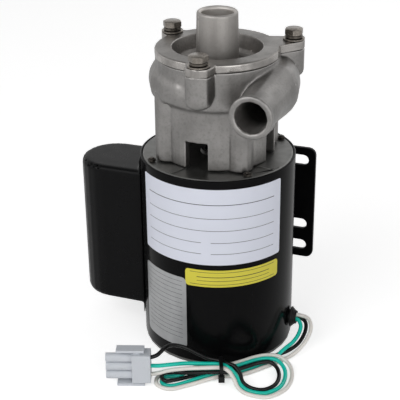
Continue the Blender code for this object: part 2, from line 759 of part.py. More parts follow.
def rounded_rectangle(half_width, low, high, corner, steps=4):
    points = []
    points += arc(corner, 0.0, 0.5 * math.pi, steps, (half_width - corner, high - corner))
    points += arc(corner, 0.5 * math.pi, math.pi, steps, (corner - half_width, high - corner))
    points += arc(corner, math.pi, 1.5 * math.pi, steps, (corner - half_width, low + corner))
    points += arc(corner, 1.5 * math.pi, 2.0 * math.pi, steps, (half_width - corner, low + corner))
    return points


def plate_slot(side, height):
    radius = 0.5 * PLATE_SLOT_WIDTH
    outer = PLATE_SLOT_OUTER - radius
    inner = PLATE_SLOT_OUTER - PLATE_SLOT_LENGTH + radius
    right = arc(radius, -0.5 * math.pi, 0.5 * math.pi, 8, (max(side * outer, side * inner), height))
    left = arc(radius, 0.5 * math.pi, 1.5 * math.pi, 8, (min(side * outer, side * inner), height))
    return right + left


def mounting_plate():
    """Upright plate behind the shell, with weld fillets that follow the shell's curve."""
    front = SHELL_RADIUS + FIT
    outline = rounded_rectangle(PLATE_HALF_WIDTH, PLATE_BOTTOM, PLATE_TOP, PLATE_CORNER)
    plate = prism("mounting_plate", [outline], 0.0, PLATE_THICKNESS)
    slots = [
        prism(f"slot_{i}_{j}", [plate_slot(side, height)], -0.002, PLATE_THICKNESS + 0.002)
        for i, side in enumerate((-1.0, 1.0)) for j, height in enumerate(SLOT_HEIGHTS)
    ]
    for upright in [plate, *slots]:
        upright.rotation_euler = (math.radians(90.0), 0.0, 0.0)
        upright.location = (0.0, front + 0.5 * PLATE_THICKNESS, 0.0)
    cut(plate, group("plate_slots", slots))
    middle = 0.5 * (PLATE_BOTTOM + PLATE_TOP)
    length = 0.55 * (PLATE_TOP - PLATE_BOTTOM)
    for side in (-1.0, 1.0):
        centre = side * 0.5 * (WELD_START + WELD_REACH)
        fillet = box(f"weld_{'left' if side < 0 else 'right'}", (WELD_REACH - WELD_START, 0.0050, length),
                     (centre, front - 0.0013, middle))
        cut(fillet, cylinder(f"shell_relief_{'left' if side < 0 else 'right'}", SHELL_RADIUS + FIT,
                             PLATE_BOTTOM, PLATE_TOP, sides=64))
        join(plate, fillet)
    part(plate, BLACK_PAINT)


# Capacitor and its cover

def cover_outline(radius, end):
    """Straight sides from the motor and a half-round outer side."""
    return [(end, radius)] + arc(radius, 0.5 * math.pi, 1.5 * math.pi, 12, (-CAPACITOR_AXIS, 0.0)) + [(end, -radius)]


def flange(name, bottom, top):
    """A curved strip of the cover that lies on the shell."""
    inner = SHELL_RADIUS - 0.002
    outer = SHELL_RADIUS + FIT + CAPACITOR_COVER_WALL
    start, end = math.pi - FLANGE_HALF_ANGLE, math.pi + FLANGE_HALF_ANGLE
    return prism(name, [arc(outer, start, end, 7) + arc(inner, end, start, 5)], bottom, top)


def capacitor_cover():
    wall = CAPACITOR_COVER_WALL
    sections = []
    for low in (True, False):
        for step in range(3):
            turn = 0.5 * math.pi * (step if low else 2 - step) / 2
            inset = CAPACITOR_EDGE * (1.0 - math.sin(turn))
            rise = CAPACITOR_EDGE * (1.0 - math.cos(turn))
            height = CAPACITOR_BOTTOM + rise if low else CAPACITOR_TOP - rise
            outline = cover_outline(CAPACITOR_COVER_RADIUS - inset, -0.030)
            sections.append([(x, y, height) for x, y in outline])
    cover = loft("capacitor_cover", sections)
    inside = prism("capacitor_cover_inside", [cover_outline(CAPACITOR_COVER_RADIUS - wall, -0.020)],
                   CAPACITOR_BOTTOM + wall, CAPACITOR_TOP - wall)
    shell = cylinder("capacitor_shell_relief", SHELL_RADIUS + FIT, 0.0, SHELL_TOP, sides=64)
    cut(cover, inside)
    join(cover, flange("upper_flange", CAPACITOR_TOP - wall - 0.001, CAPACITOR_TOP + FLANGE_HEIGHT),
         flange("lower_flange", CAPACITOR_BOTTOM - FLANGE_HEIGHT, CAPACITOR_BOTTOM + wall + 0.001))
    cut(cover, shell, flange_screw_hole("flange_screw_hole_upper", 1.0), flange_screw_hole("flange_screw_hole_lower", -1.0))
    part(cover, BLACK_PAINT)


def capacitor_cover_screws():
    """A screw through each flange into the shell, pan head outward."""
    reach = SHELL_RADIUS + FIT + CAPACITOR_COVER_WALL + FIT
    levels = {"upper": flange_screw_height(1.0), "lower": flange_screw_height(-1.0)}
    for place, level in levels.items():
        screw = turned(f"capacitor_cover_screw_{place}", [
            (0.0, SCREW_HEAD_HEIGHT), (SCREW_HEAD_RADIUS - 0.0008, SCREW_HEAD_HEIGHT),
            (SCREW_HEAD_RADIUS, SCREW_HEAD_HEIGHT - 0.0008), (SCREW_HEAD_RADIUS, 0.0), (SCREW_RADIUS, 0.0),
            (SCREW_RADIUS, -SCREW_LENGTH), (0.0, -SCREW_LENGTH),
        ], 12)
        screw.location = (-reach, 0.0, level)
        screw.rotation_euler = (0.0, math.radians(-90.0), 0.0)
        part(screw, BLACK_STEEL)


def run_capacitor():
    """Round can with a rolled rim and two blade terminals."""
    bottom = CAPACITOR_BOTTOM + CAPACITOR_COVER_WALL + FIT
    top = bottom + CAN_HEIGHT
    can = turned("run_capacitor", [
        (0.0, top - 0.001), (CAN_RADIUS - 0.0015, top - 0.001), (CAN_RADIUS - 0.0008, top),
        (CAN_RADIUS, top - 0.001), (CAN_RADIUS, top - 0.003), (CAN_RADIUS - 0.0006, top - 0.004),
        (CAN_RADIUS - 0.0006, bottom + 0.001), (CAN_RADIUS - 0.0016, bottom), (0.0, bottom),
    ], 24)
    can.location = (-CAPACITOR_AXIS, 0.0, 0.0)
    for side in (-1.0, 1.0):
        blade = box(f"blade_{'a' if side < 0 else 'b'}", (0.0008, 0.0063, 0.0100),
                    (-CAPACITOR_AXIS, side * 0.0080, top + 0.0035))
        join(can, blade)
    part(can, CAST_ALUMINIUM)


# Volute casing

def ear_outline(angle, reach, radius, splay, root=0.0):
    """A tongue with a round end about the bolt, whose sides splay towards the shaft."""
    bolt = polar(reach, angle)
    end = arc(radius, angle - 0.5 * math.pi + splay, angle + 0.5 * math.pi - splay, 8, bolt)
    inner = polar(0.62 * reach + root, angle)
    half = radius / math.cos(splay) + (0.38 * reach - root) * math.tan(splay)
    side = (-math.sin(angle), math.cos(angle))
    left = (inner[0] + half * side[0], inner[1] + half * side[1])
    right = (inner[0] - half * side[0], inner[1] - half * side[1])
    return end + [left, right]


def boss(name, angle, reach):
    """A bolt boss under the flange plane with a rounded lower end."""
    rounding = 0.0040
    bottom = FLANGE_PLANE - BOSS_DROP
    sections = []
    for step in range(4):
        turn = 0.5 * math.pi * step / 3
        inset = rounding * (1.0 - math.sin(turn))
        height = bottom + rounding * (1.0 - math.cos(turn))
        outline = ear_outline(angle, reach, BOSS_RADIUS - inset, BOSS_SPLAY * 0.6)
        sections.append([(x, y, height) for x, y in outline])
    outline = ear_outline(angle, reach, BOSS_RADIUS, BOSS_SPLAY * 0.6)
    sections.append([(x, y, FLANGE_PLANE + 0.001) for x, y in outline])
    return loft(name, sections)


def mix(a, b, t):
    return a + (b - a) * t


def ellipse_ring(centre, outward, across, along, count):
    """A ring of points: one semi-axis outward, the other vertical."""
    up = Vector((0.0, 0.0, 1.0))
    ring = []
    for i in range(count):
        turn = FULL_TURN * i / count
        ring.append(centre + outward * (across * math.cos(turn)) + up * (along * math.sin(turn)))
    return ring


def scroll_sections(start_reach, end_reach, start_size, end_size, start_height, end_height, count, stations):
    """Sections of the scroll, growing clockwise from the tongue to the +X side."""
    sections = []
    for i in range(stations):
        t = i / (stations - 1)
        angle = SCROLL_START - t * (FULL_TURN + SCROLL_START)
        outward = Vector((*polar(1.0, angle), 0.0))
        across = mix(start_size[0], end_size[0], t ** 0.7)
        along = mix(start_size[1], end_size[1], t ** 0.5)
        reach = mix(start_reach, end_reach, t ** SCROLL_GROWTH)
        centre = outward * (reach - across)
        centre.z = mix(start_height, end_height, t ** 2)
        sections.append(ellipse_ring(centre, outward, across, along, count))
    return sections


def nozzle_sections(stages, count):
    """Sections of the discharge: (distance along -Y, offset, semi-axes, height)."""
    outward = Vector((1.0, 0.0, 0.0))
    return [
        ellipse_ring(Vector((offset, -distance, height)), outward, across, along, count)
        for distance, offset, across, along, height in stages
    ]


def scroll_skin():
    """Outside of scroll and discharge as one loft with a beaded lip."""
    outer = scroll_sections(DRUM_RADIUS - 0.0006, SCROLL_REACH, (0.0100, 0.0130), (0.0140, 0.0172),
                            0.1828, 0.1806, 16, 16)
    start = SCROLL_REACH - 0.0140
    axis, level = NOZZLE_OFFSET, WATERWAY_CENTRE
    lip = NOZZLE_RADIUS
    outer += nozzle_sections([
        (0.0100, mix(start, axis, 0.3), 0.0138, 0.0164, mix(0.1806, level, 0.3)),
        (0.0210, mix(start, axis, 0.7), 0.0134, 0.0148, mix(0.1806, level, 0.7)),
        (0.0320, axis, 0.0130, 0.0136, level),
        (NOZZLE_END - 0.0110, axis, 0.0127, 0.0128, level),
        (NOZZLE_END - 0.0060, axis, NOZZLE_NECK, NOZZLE_NECK, level),
        (NOZZLE_END - 0.0034, axis, NOZZLE_NECK, NOZZLE_NECK, level),
        (NOZZLE_END - 0.0026, axis, lip - 0.0001, lip - 0.0001, level),
        (NOZZLE_END - 0.0012, axis, lip, lip, level),
        (NOZZLE_END, axis, lip - 0.0009, lip - 0.0009, level),
    ], 16)
    return loft("scroll_and_discharge", outer)


def waterway():
    """Inside of scroll and discharge."""
    level = CHAMBER_TOP - THROAT_RADIUS - 2.0 * FIT
    inner = scroll_sections(CHAMBER_RADIUS + 0.0005, NOZZLE_OFFSET + THROAT_RADIUS, (0.0030, 0.0045),
                            (THROAT_RADIUS, THROAT_RADIUS), level, level, 12, 14)
    inner += nozzle_sections([
        (0.0100, NOZZLE_OFFSET, THROAT_RADIUS, THROAT_RADIUS, level),
        (0.0380, NOZZLE_OFFSET, NOZZLE_BORE, NOZZLE_BORE, WATERWAY_CENTRE),
        (NOZZLE_END - 0.0012, NOZZLE_OFFSET, NOZZLE_BORE, NOZZLE_BORE, WATERWAY_CENTRE),
        (NOZZLE_END + 0.0010, NOZZLE_OFFSET, NOZZLE_BORE + 0.0012, NOZZLE_BORE + 0.0012, WATERWAY_CENTRE),
    ], 12)
    return loft("waterway", inner)


def volute_casing():
    """One casting: lantern with columns and windows, drum, scroll, discharge and bosses."""
    casing = turned("volute_casing", [
        (0.0, DRUM_BOTTOM + 0.003), (LANTERN_RADIUS, DRUM_BOTTOM + 0.003), (LANTERN_RADIUS, LANTERN_FOOT),
        (LANTERN_INSIDE, LANTERN_FOOT), (LANTERN_INSIDE, LANTERN_CEILING - 0.002),
        (LANTERN_INSIDE - 0.002, LANTERN_CEILING), (0.0, LANTERN_CEILING),
    ], 36)
    columns = group("columns", [
        cylinder(f"column_{i}", COLUMN_RADIUS, LANTERN_FOOT, DRUM_BOTTOM + 0.002, polar(COLUMN_CIRCLE, angle), 14)
        for i, angle in enumerate(quarter_angles())
    ])
    drum = turned("drum", [
        (0.0, FLANGE_PLANE), (DRUM_RADIUS, FLANGE_PLANE), (DRUM_RADIUS, DRUM_BOTTOM + 0.0012),
        (DRUM_RADIUS - 0.0014, DRUM_BOTTOM - 0.0008), (LANTERN_RADIUS - 0.0010, DRUM_BOTTOM - 0.0018),
        (0.0, DRUM_BOTTOM - 0.0018),
    ], 36)
    join(casing, columns, drum, scroll_skin())
    for i, (angle, reach) in enumerate(EARS.values()):
        join(casing, boss(f"boss_{i}", angle, reach))
    machined_face = box("machined_face", (0.2, 0.2, 0.02), (0.0, 0.0, FLANGE_PLANE + 0.01))
    bores = turned("stepped_bores", [
        (0.0, FLANGE_PLANE + 0.001), (SPIGOT_RADIUS + FIT, FLANGE_PLANE + 0.001), (SPIGOT_RADIUS + FIT, CHAMBER_TOP),
        (CHAMBER_RADIUS, CHAMBER_TOP), (CHAMBER_RADIUS, CHAMBER_FLOOR), (SEAL_CHAMBER_RADIUS, CHAMBER_FLOOR),
        (SEAL_CHAMBER_RADIUS, SEAL_CHAMBER_FLOOR), (SEAL_SEAT_RADIUS + FIT, SEAL_CHAMBER_FLOOR),
        (SEAL_SEAT_RADIUS + FIT, SEAL_CHAMBER_FLOOR - SEAL_SEAT_HEIGHT - 2.0 * FIT),
        (SHAFT_HOLE_RADIUS, SEAL_CHAMBER_FLOOR - SEAL_SEAT_HEIGHT - 2.0 * FIT),
        (SHAFT_HOLE_RADIUS, LANTERN_CEILING - 0.001), (0.0, LANTERN_CEILING - 0.001),
    ], 32)
    windows = group("windows", [
        box(f"window_{i}", (0.024, WINDOW_WIDTH, WINDOW_HEIGHT + 0.002),
            (*polar(LANTERN_RADIUS, angle), LANTERN_FOOT + 0.5 * WINDOW_HEIGHT - 0.001), angle)
        for i, angle in enumerate(window_angles())
    ])
    screw_holes = group("column_taps", [
        cylinder(f"column_tap_{i}", COLUMN_SCREW_RADIUS + FIT, LANTERN_FOOT - 0.001,
                 LANTERN_FOOT + COLUMN_SCREW_DEPTH, polar(COLUMN_CIRCLE, angle), 10)
        for i, angle in enumerate(quarter_angles())
    ])
    bolt_holes = group("boss_taps", [
        cylinder(f"boss_tap_{i}", BOLT_HOLE_RADIUS, FLANGE_PLANE - BOLT_DEPTH - FIT, FLANGE_PLANE + 0.001,
                 polar(reach, angle), 14)
        for i, (angle, reach) in enumerate(EARS.values())
    ])
    cut(casing, machined_face, bores, waterway(), windows, screw_holes, bolt_holes)
    part(casing, CAST_STEEL)


def adapter_screws():
    """Screws up through the front endshield into the lantern's columns."""
    head_top = FRONT_DISC_BOTTOM - FIT
    for i, angle in enumerate(quarter_angles(), start=1):
        place = polar(COLUMN_CIRCLE, angle)
        screw = cylinder(f"adapter_screw_{i}", COLUMN_SCREW_HEAD, head_top - 0.0028, head_top, place, 12)
        join(screw, cylinder(f"adapter_shank_{i}", COLUMN_SCREW_RADIUS, head_top - 0.0005,
                             LANTERN_FOOT + COLUMN_SCREW_DEPTH - FIT, place, 12))
        part(screw, BRIGHT_STEEL)


# Suction cover

def suction_cover():
    """Cover with a bowl recess, the suction tube from its middle, a spigot with seal groove, and ears."""
    groove_top = COVER_BOTTOM - ORING_BELOW_FLANGE + ORING_GROOVE_WIDTH
    groove_bottom = COVER_BOTTOM - ORING_BELOW_FLANGE
    groove_floor = SPIGOT_RADIUS + FIT - 2.0 * ORING_SECTION - 2.0 * FIT
    floor = COVER_TOP - RECESS_DEPTH
    neck_clear = NECK_RADIUS + RUNNING
    cover = turned("suction_cover", [
        (COVER_RADIUS - 0.0008, COVER_TOP), (COVER_RADIUS, COVER_TOP - 0.0008),
        (COVER_RADIUS, COVER_BOTTOM), (SPIGOT_RADIUS, COVER_BOTTOM),
        (SPIGOT_RADIUS, groove_top), (groove_floor, groove_top), (groove_floor, groove_bottom),
        (SPIGOT_RADIUS, groove_bottom), (SPIGOT_RADIUS, SPIGOT_BOTTOM),
        (neck_clear, SPIGOT_BOTTOM),
        (neck_clear, NECK_TOP + 0.0008), (SUCTION_BORE, NECK_TOP + 0.0008),
        (SUCTION_BORE, SUCTION_TOP - 0.0014), (SUCTION_BORE + 0.0012, SUCTION_TOP),
        (SUCTION_RADIUS - 0.0008, SUCTION_TOP), (SUCTION_RADIUS, SUCTION_TOP - 0.0010),
        (SUCTION_BASE_RADIUS, floor + 0.0030), (SUCTION_BASE_RADIUS + 0.0016, floor), (RECESS_RADIUS - 0.0050, floor),
        (RECESS_RADIUS - 0.0026, floor + 0.0012), (RECESS_RADIUS - 0.0014, floor + 0.0034),
        (RECESS_RADIUS + 0.0005, COVER_TOP),
    ], 36, True)
    for i, (angle, reach) in enumerate(EARS.values()):
        join(cover, prism(f"ear_{i}", [ear_outline(angle, reach, BOSS_RADIUS, BOSS_SPLAY, 0.0045)],
                          COVER_BOTTOM, COVER_TOP))
    holes = group("cover_bolt_holes", [
        cylinder(f"cover_bolt_hole_{i}", BOLT_HOLE_RADIUS, COVER_BOTTOM - 0.001, COVER_TOP + 0.001,
                 polar(reach, angle), 14)
        for i, (angle, reach) in enumerate(EARS.values())
    ])
    cut(cover, holes)
    part(cover, CAST_STEEL)


def cover_oring():
    centre = SPIGOT_RADIUS + FIT - FIT - ORING_SECTION
    height = COVER_BOTTOM - ORING_BELOW_FLANGE + 0.5 * ORING_GROOVE_WIDTH
    section = [
        (centre + ORING_SECTION * math.cos(turn), height + ORING_SECTION * math.sin(turn))
        for turn in (FULL_TURN * -i / 6 for i in range(6))
    ]
    part(turned("cover_oring", section, 26, True), RUBBER)


def cover_bolts():
    """Hexagon bolts with lock washer and flat washer at each ear."""
    flat_bottom = COVER_TOP + FIT
    flat_top = flat_bottom + FLAT_WASHER_THICKNESS
    lock_bottom = flat_top + FIT
    lock_top = lock_bottom + LOCK_WASHER_THICKNESS
    head_bottom = lock_top + FIT
    for i, (ear, (angle, reach)) in enumerate(EARS.items()):
        place = polar(reach, angle)
        flat = turned(f"cover_flat_washer_{ear}",
                      ring_profile(FLAT_WASHER_RADIUS, BOLT_HOLE_RADIUS, flat_bottom, flat_top), 16, True)
        flat.location = (*place, 0.0)
        part(flat, BRIGHT_STEEL)
        lock = turned(f"cover_lock_washer_{ear}",
                      ring_profile(LOCK_WASHER_RADIUS, BOLT_HOLE_RADIUS, lock_bottom, lock_top), 14, True)
        lock.location = (*place, 0.0)
        cut(lock, box(f"split_{ear}", (0.004, 0.0007, 0.004),
                      (place[0] + LOCK_WASHER_RADIUS - 0.001, place[1], 0.5 * (lock_bottom + lock_top))))
        part(lock, BRIGHT_STEEL)
        bolt = cylinder(f"cover_bolt_{ear}", BOLT_HEAD_RADIUS, head_bottom, head_bottom + BOLT_HEAD_HEIGHT, place, 6)
        bolt.rotation_euler = (0.0, 0.0, math.radians(14.0 + 25.0 * i))
        join(bolt, cylinder(f"shank_{ear}", BOLT_RADIUS, FLANGE_PLANE - BOLT_DEPTH, head_bottom + 0.0005, place, 12))
        part(bolt, BRIGHT_STEEL)


# Rotating pump pieces

def vane_outline(index):
    """A backward-curved vane: both faces are spirals half a thickness from the middle line."""
    steps = 6
    start = FULL_TURN * index / VANE_COUNT
    left, right = [], []
    for i in range(steps + 1):
        t = i / steps
        radius = mix(VANE_ROOT, IMPELLER_RADIUS - 0.0001, t)
        angle = start + VANE_SWEEP * math.log(1.0 + 1.7 * t) / math.log(2.7)
        pitch = math.atan2(radius * VANE_SWEEP, (IMPELLER_RADIUS - VANE_ROOT)) - 0.2
        half = 0.5 * VANE_THICKNESS * (0.6 + 0.4 * t)
        x, y = polar(radius, angle)
        normal = angle + pitch + 0.5 * math.pi
        left.append((x + half * math.cos(normal), y + half * math.sin(normal)))
        right.append((x - half * math.cos(normal), y - half * math.sin(normal)))
    return left + right[::-1]


def impeller():
    """Closed impeller: hub and back shroud, curved vanes, and front shroud with the eye's neck."""
    bore = IMPELLER_SEAT_RADIUS + FIT
    back_bottom = BACK_SHROUD_TOP - SHROUD_THICKNESS
    front_bottom = BACK_SHROUD_TOP + PASSAGE_HEIGHT
    front_top = front_bottom + SHROUD_THICKNESS - 0.0004
    wheel = turned("impeller", [
        (bore, IMPELLER_HUB_TOP), (bore + 0.0014, IMPELLER_HUB_TOP - 0.0003), (bore + 0.0032, BACK_SHROUD_TOP + 0.0026),
        (bore + 0.0062, BACK_SHROUD_TOP), (IMPELLER_RADIUS, BACK_SHROUD_TOP), (IMPELLER_RADIUS, back_bottom),
        (IMPELLER_HUB_RADIUS, back_bottom), (IMPELLER_HUB_RADIUS, IMPELLER_BACK), (bore, IMPELLER_BACK),
    ], 28, True)
    neck_inside = SUCTION_BORE + 0.0004
    front = turned("front_shroud", [
        (NECK_RADIUS, NECK_TOP), (NECK_RADIUS, front_top + 0.0014), (NECK_RADIUS + 0.0020, front_top + 0.0003),
        (IMPELLER_RADIUS, front_top), (IMPELLER_RADIUS, front_bottom), (NECK_RADIUS, front_bottom + 0.0004),
        (neck_inside, front_bottom + 0.0024), (neck_inside, NECK_TOP),
    ], 28, True)
    vanes = group("vanes", [
        prism(f"vane_{i}", [vane_outline(i)], BACK_SHROUD_TOP - 0.0004, front_bottom + 0.0008)
        for i in range(VANE_COUNT)
    ])
    join(wheel, vanes, front)
    part(wheel, BRIGHT_STEEL, rotor_axis)


def impeller_fastening():
    washer_bottom = IMPELLER_HUB_TOP + FIT
    washer_top = washer_bottom + 0.0010
    washer = turned("impeller_washer", ring_profile(0.0066, IMPELLER_SCREW_RADIUS + FIT, washer_bottom, washer_top),
                    18, True)
    part(washer, BRIGHT_STEEL, rotor_axis)
    head_bottom = washer_top + FIT
    screw = cylinder("impeller_screw", 0.0042, head_bottom, head_bottom + 0.0032, sides=6)
    join(screw, cylinder("impeller_screw_shank", IMPELLER_SCREW_RADIUS, SHAFT_END - 0.0090, head_bottom + 0.0005,
                         sides=16))
    part(screw, BRIGHT_STEEL, rotor_axis)


def shaft_seal():
    """Stationary seat in the casing, turning head on the shaft and the spring between head and impeller."""
    seat_bottom = SEAL_CHAMBER_FLOOR - SEAL_SEAT_HEIGHT - FIT
    seat_top = seat_bottom + SEAL_SEAT_HEIGHT
    seat = turned("seal_seat", ring_profile(SEAL_SEAT_RADIUS, SEAL_SEAT_BORE, seat_bottom, seat_top), 24, True)
    part(seat, CERAMIC)
    bore = SHAFT_RADIUS + FIT
    nose = seat_top + FIT
    head_top = nose + 0.0046
    head = turned("seal_head", [
        (0.0118, head_top), (0.0118, nose + 0.0020), (0.0101, nose + 0.0020), (0.0101, nose),
        (0.0082, nose), (0.0082, nose + 0.0008), (bore, nose + 0.0008), (bore, head_top),
    ], 20, True)
    part(head, RUBBER, rotor_axis)
    wire = 0.0006
    low = head_top + FIT + wire
    high = IMPELLER_BACK - FIT - wire
    turns, per_turn = 3.0, 8
    count = int(turns * per_turn)
    points = []
    for i in range(count + 1):
        t = i / count
        x, y = polar(0.0098, FULL_TURN * turns * t)
        points.append((x, y, mix(low, high, t)))
    spring = curve_to_mesh("seal_spring", tube("seal_spring_wire", points, wire, 1))
    part(spring, BRIGHT_STEEL, rotor_axis)


def slinger():
    bore = SHAFT_RADIUS + FIT
    middle = 0.1455
    ring = turned("slinger", [
        (0.0096, middle + 0.0028), (0.0096, middle + 0.0008), (0.0140, middle + 0.0004), (0.0140, middle - 0.0004),
        (0.0096, middle - 0.0008), (0.0096, middle - 0.0028), (bore, middle - 0.0028), (bore, middle + 0.0028),
    ], 20, True)
    part(ring, RUBBER, rotor_axis)


# Lead bushing

def lead_bushing():
    """Strain relief in the shell's hole, tapering outward, with a bore for the three leads."""
    inner = SHELL_WALL + 0.0012
    reach = BUSHING_LENGTH
    body = turned("lead_bushing", [
        (BUSHING_BORE + 0.0012, reach), (BUSHING_FLANGE_RADIUS - 0.0012, reach - 0.0016),
        (BUSHING_FLANGE_RADIUS, 0.0014), (BUSHING_FLANGE_RADIUS, 0.0008),
        (BUSHING_BARREL_RADIUS, 0.0008), (BUSHING_BARREL_RADIUS, -inner),
        (BUSHING_BORE, -inner), (BUSHING_BORE, reach),
    ], 20, True)
    x, y = polar(SHELL_RADIUS, LEAD_EXIT_ANGLE)
    body.location = (x, y, LEAD_EXIT_HEIGHT)
    body.rotation_euler = (0.0, math.radians(90.0), LEAD_EXIT_ANGLE)
    part(body, BLACK_NYLON)


# Leads: chosen points in millimetres, read through a smooth curve. Each lead runs from the bushing
# through the tie, round a turn beside the plug, back through the tie, round the loop beside the motor,
# through the tie a third time and into the plug.
LEAD_ROUTES = {
    "lead_black": (
        (46.0, 1.5, 15.15), (52.0, 1.85, 15.15), (57.0, 2.2, 15.0), (60.0, -0.9, 12.2), (59.8, -6.0, 8.0),
        (57.0, -12.5, 4.4), (52.8, -20.0, 2.2), (47.5, -27.5, 1.7), (41.0, -36.5, 1.7), (34.0, -45.5, 1.7),
        (27.3, -51.9, 2.2), (21.0, -54.8, 2.6), (14.5, -58.6, 2.1), (8.0, -64.6, 1.8), (2.5, -71.3, 2.6),
        (-1.7, -78.7, 4.7), (-6.2, -82.4, 5.2), (-10.2, -80.3, 5.2), (-11.4, -77.0, 5.2), (-10.2, -73.7, 5.2),
        (-6.0, -72.0, 5.4), (0.0, -71.6, 6.1), (6.5, -69.4, 6.0), (15.0, -65.6, 5.9), (24.0, -62.2, 5.9),
        (29.5, -58.6, 5.6), (35.5, -51.4, 5.1), (42.0, -43.8, 5.0), (49.5, -39.2, 5.0), (55.8, -42.2, 3.4),
        (59.3, -49.8, 1.8), (59.0, -59.0, 1.7), (53.8, -66.0, 1.7), (46.0, -67.0, 1.9), (39.5, -64.4, 3.2),
        (36.0, -60.0, 6.4), (31.2, -57.0, 8.9), (26.2, -56.2, 9.3), (21.0, -54.8, 9.2), (15.5, -54.9, 9.3),
        (10.4, -55.2, 10.0), (4.6, -55.8, 12.4), (-2.4, -56.0, 15.4), (-9.4, -57.8, 17.7), (-14.2, -61.8, 18.9),
        (-16.0, -68.4, 20.2), (-14.2, -75.2, 20.9), (-13.7, -79.1, 20.4), (-17.3, -81.0, 19.85),
        (-22.0, -82.6, 19.85),
    ),
    "lead_green": (
        (46.0, 4.5, 15.15), (52.0, 4.85, 15.15), (57.5, 5.3, 15.1), (62.2, 3.3, 13.3), (63.6, -2.8, 9.6),
        (61.6, -10.4, 5.5), (57.4, -19.0, 2.5), (51.7, -27.6, 1.7), (44.6, -37.6, 1.7), (37.2, -47.2, 1.7),
        (30.0, -54.6, 2.2), (22.5, -58.5, 2.6), (15.8, -62.9, 2.1), (9.5, -69.0, 1.7), (3.5, -75.8, 1.7),
        (-1.5, -80.6, 1.7), (-6.0, -82.3, 1.7), (-10.2, -80.4, 1.7), (-11.4, -77.0, 1.7), (-10.2, -73.6, 1.7),
        (-6.0, -71.7, 1.9), (-1.2, -69.9, 3.0), (3.8, -66.9, 5.0), (12.5, -62.3, 5.9), (22.5, -58.5, 5.9),
        (28.5, -54.4, 5.6), (34.0, -47.5, 5.1), (40.3, -40.3, 5.0), (47.0, -35.8, 5.0), (54.2, -35.6, 4.8),
        (60.5, -41.0, 3.0), (63.3, -50.0, 1.7), (62.6, -60.6, 1.7), (56.0, -69.2, 1.7), (46.0, -70.6, 1.9),
        (39.0, -67.8, 3.2), (34.6, -63.4, 6.3), (28.6, -60.3, 9.0), (22.5, -58.5, 9.2), (11.5, -62.2, 9.6),
        (1.0, -67.4, 10.8), (-6.5, -74.4, 12.6), (-12.4, -79.2, 13.5), (-17.3, -81.0, 13.5), (-22.0, -82.6, 13.5),
    ),
    "lead_white": (
        (46.0, 3.0, 17.75), (52.0, 3.35, 17.75), (58.5, 3.8, 17.9), (64.6, 2.6, 16.6), (67.6, -3.2, 12.6),
        (66.2, -11.4, 7.4), (61.8, -20.4, 3.2), (55.9, -29.0, 1.7), (48.3, -39.4, 1.7), (40.6, -49.4, 1.7),
        (32.6, -57.8, 2.1), (24.0, -62.2, 2.6), (17.2, -67.2, 2.1), (11.0, -73.2, 1.7), (4.5, -79.6, 1.7),
        (-0.8, -84.2, 1.7), (-6.0, -85.8, 1.7), (-12.3, -83.5, 1.7), (-15.1, -77.0, 1.7), (-12.3, -70.5, 1.7),
        (-6.0, -67.6, 1.7), (1.0, -63.6, 3.2), (9.5, -58.6, 5.6), (21.0, -54.8, 5.9),
        (27.2, -50.8, 5.6), (32.8, -44.0, 5.1), (39.0, -36.9, 5.0), (46.0, -32.0, 5.0), (54.0, -31.0, 5.0),
        (62.5, -36.0, 3.2), (67.2, -47.0, 1.7), (66.8, -61.0, 1.7), (58.8, -72.6, 1.7), (46.2, -74.2, 1.9),
        (38.8, -71.6, 3.2), (34.8, -67.8, 6.2), (30.0, -64.1, 8.9), (24.0, -62.2, 9.2), (13.0, -66.6, 9.5),
        (2.0, -72.0, 9.8), (-7.0, -76.8, 9.4), (-12.4, -79.4, 8.0), (-17.3, -81.0, 7.15), (-22.0, -82.6, 7.15),
    ),
}
LEAD_STEP = 8.1                 # longest piece of a lead between two points, in millimetres


def smooth_route(points):
    """Points of a Catmull-Rom curve through the chosen points, in metres."""
    line = [Vector(point) for point in points]
    line = [2.0 * line[0] - line[1], *line, 2.0 * line[-1] - line[-2]]
    route = [line[1]]
    for a, b, c, d in zip(line, line[1:], line[2:], line[3:]):
        pieces = max(1, math.ceil((c - b).length / LEAD_STEP))
        for i in range(1, pieces + 1):
            t = i / pieces
            route.append(0.5 * (2.0 * b + (c - a) * t + (2.0 * a - 5.0 * b + 4.0 * c - d) * t ** 2
                                + (3.0 * b - a - 3.0 * c + d) * t ** 3))
    return [0.001 * point for point in route]


def leads():
    finishes = {"lead_black": BLACK_LEAD, "lead_green": GREEN_LEAD, "lead_white": WHITE_LEAD}
    for name, points in LEAD_ROUTES.items():
        wire = curve_to_mesh(name, tube(name, smooth_route(points), LEAD_RADIUS))
        part(wire, finishes[name])


def tie_frame():
    """Placement that turns X across the bundle, Y up and Z along it."""
    across = Vector((*polar(1.0, TIE_ANGLE), 0.0))
    up = Vector((0.0, 0.0, 1.0))
    frame = Matrix((across, up, across.cross(up))).transposed().to_4x4()
    frame.translation = (*TIE_CENTRE, 0.0)
    return frame


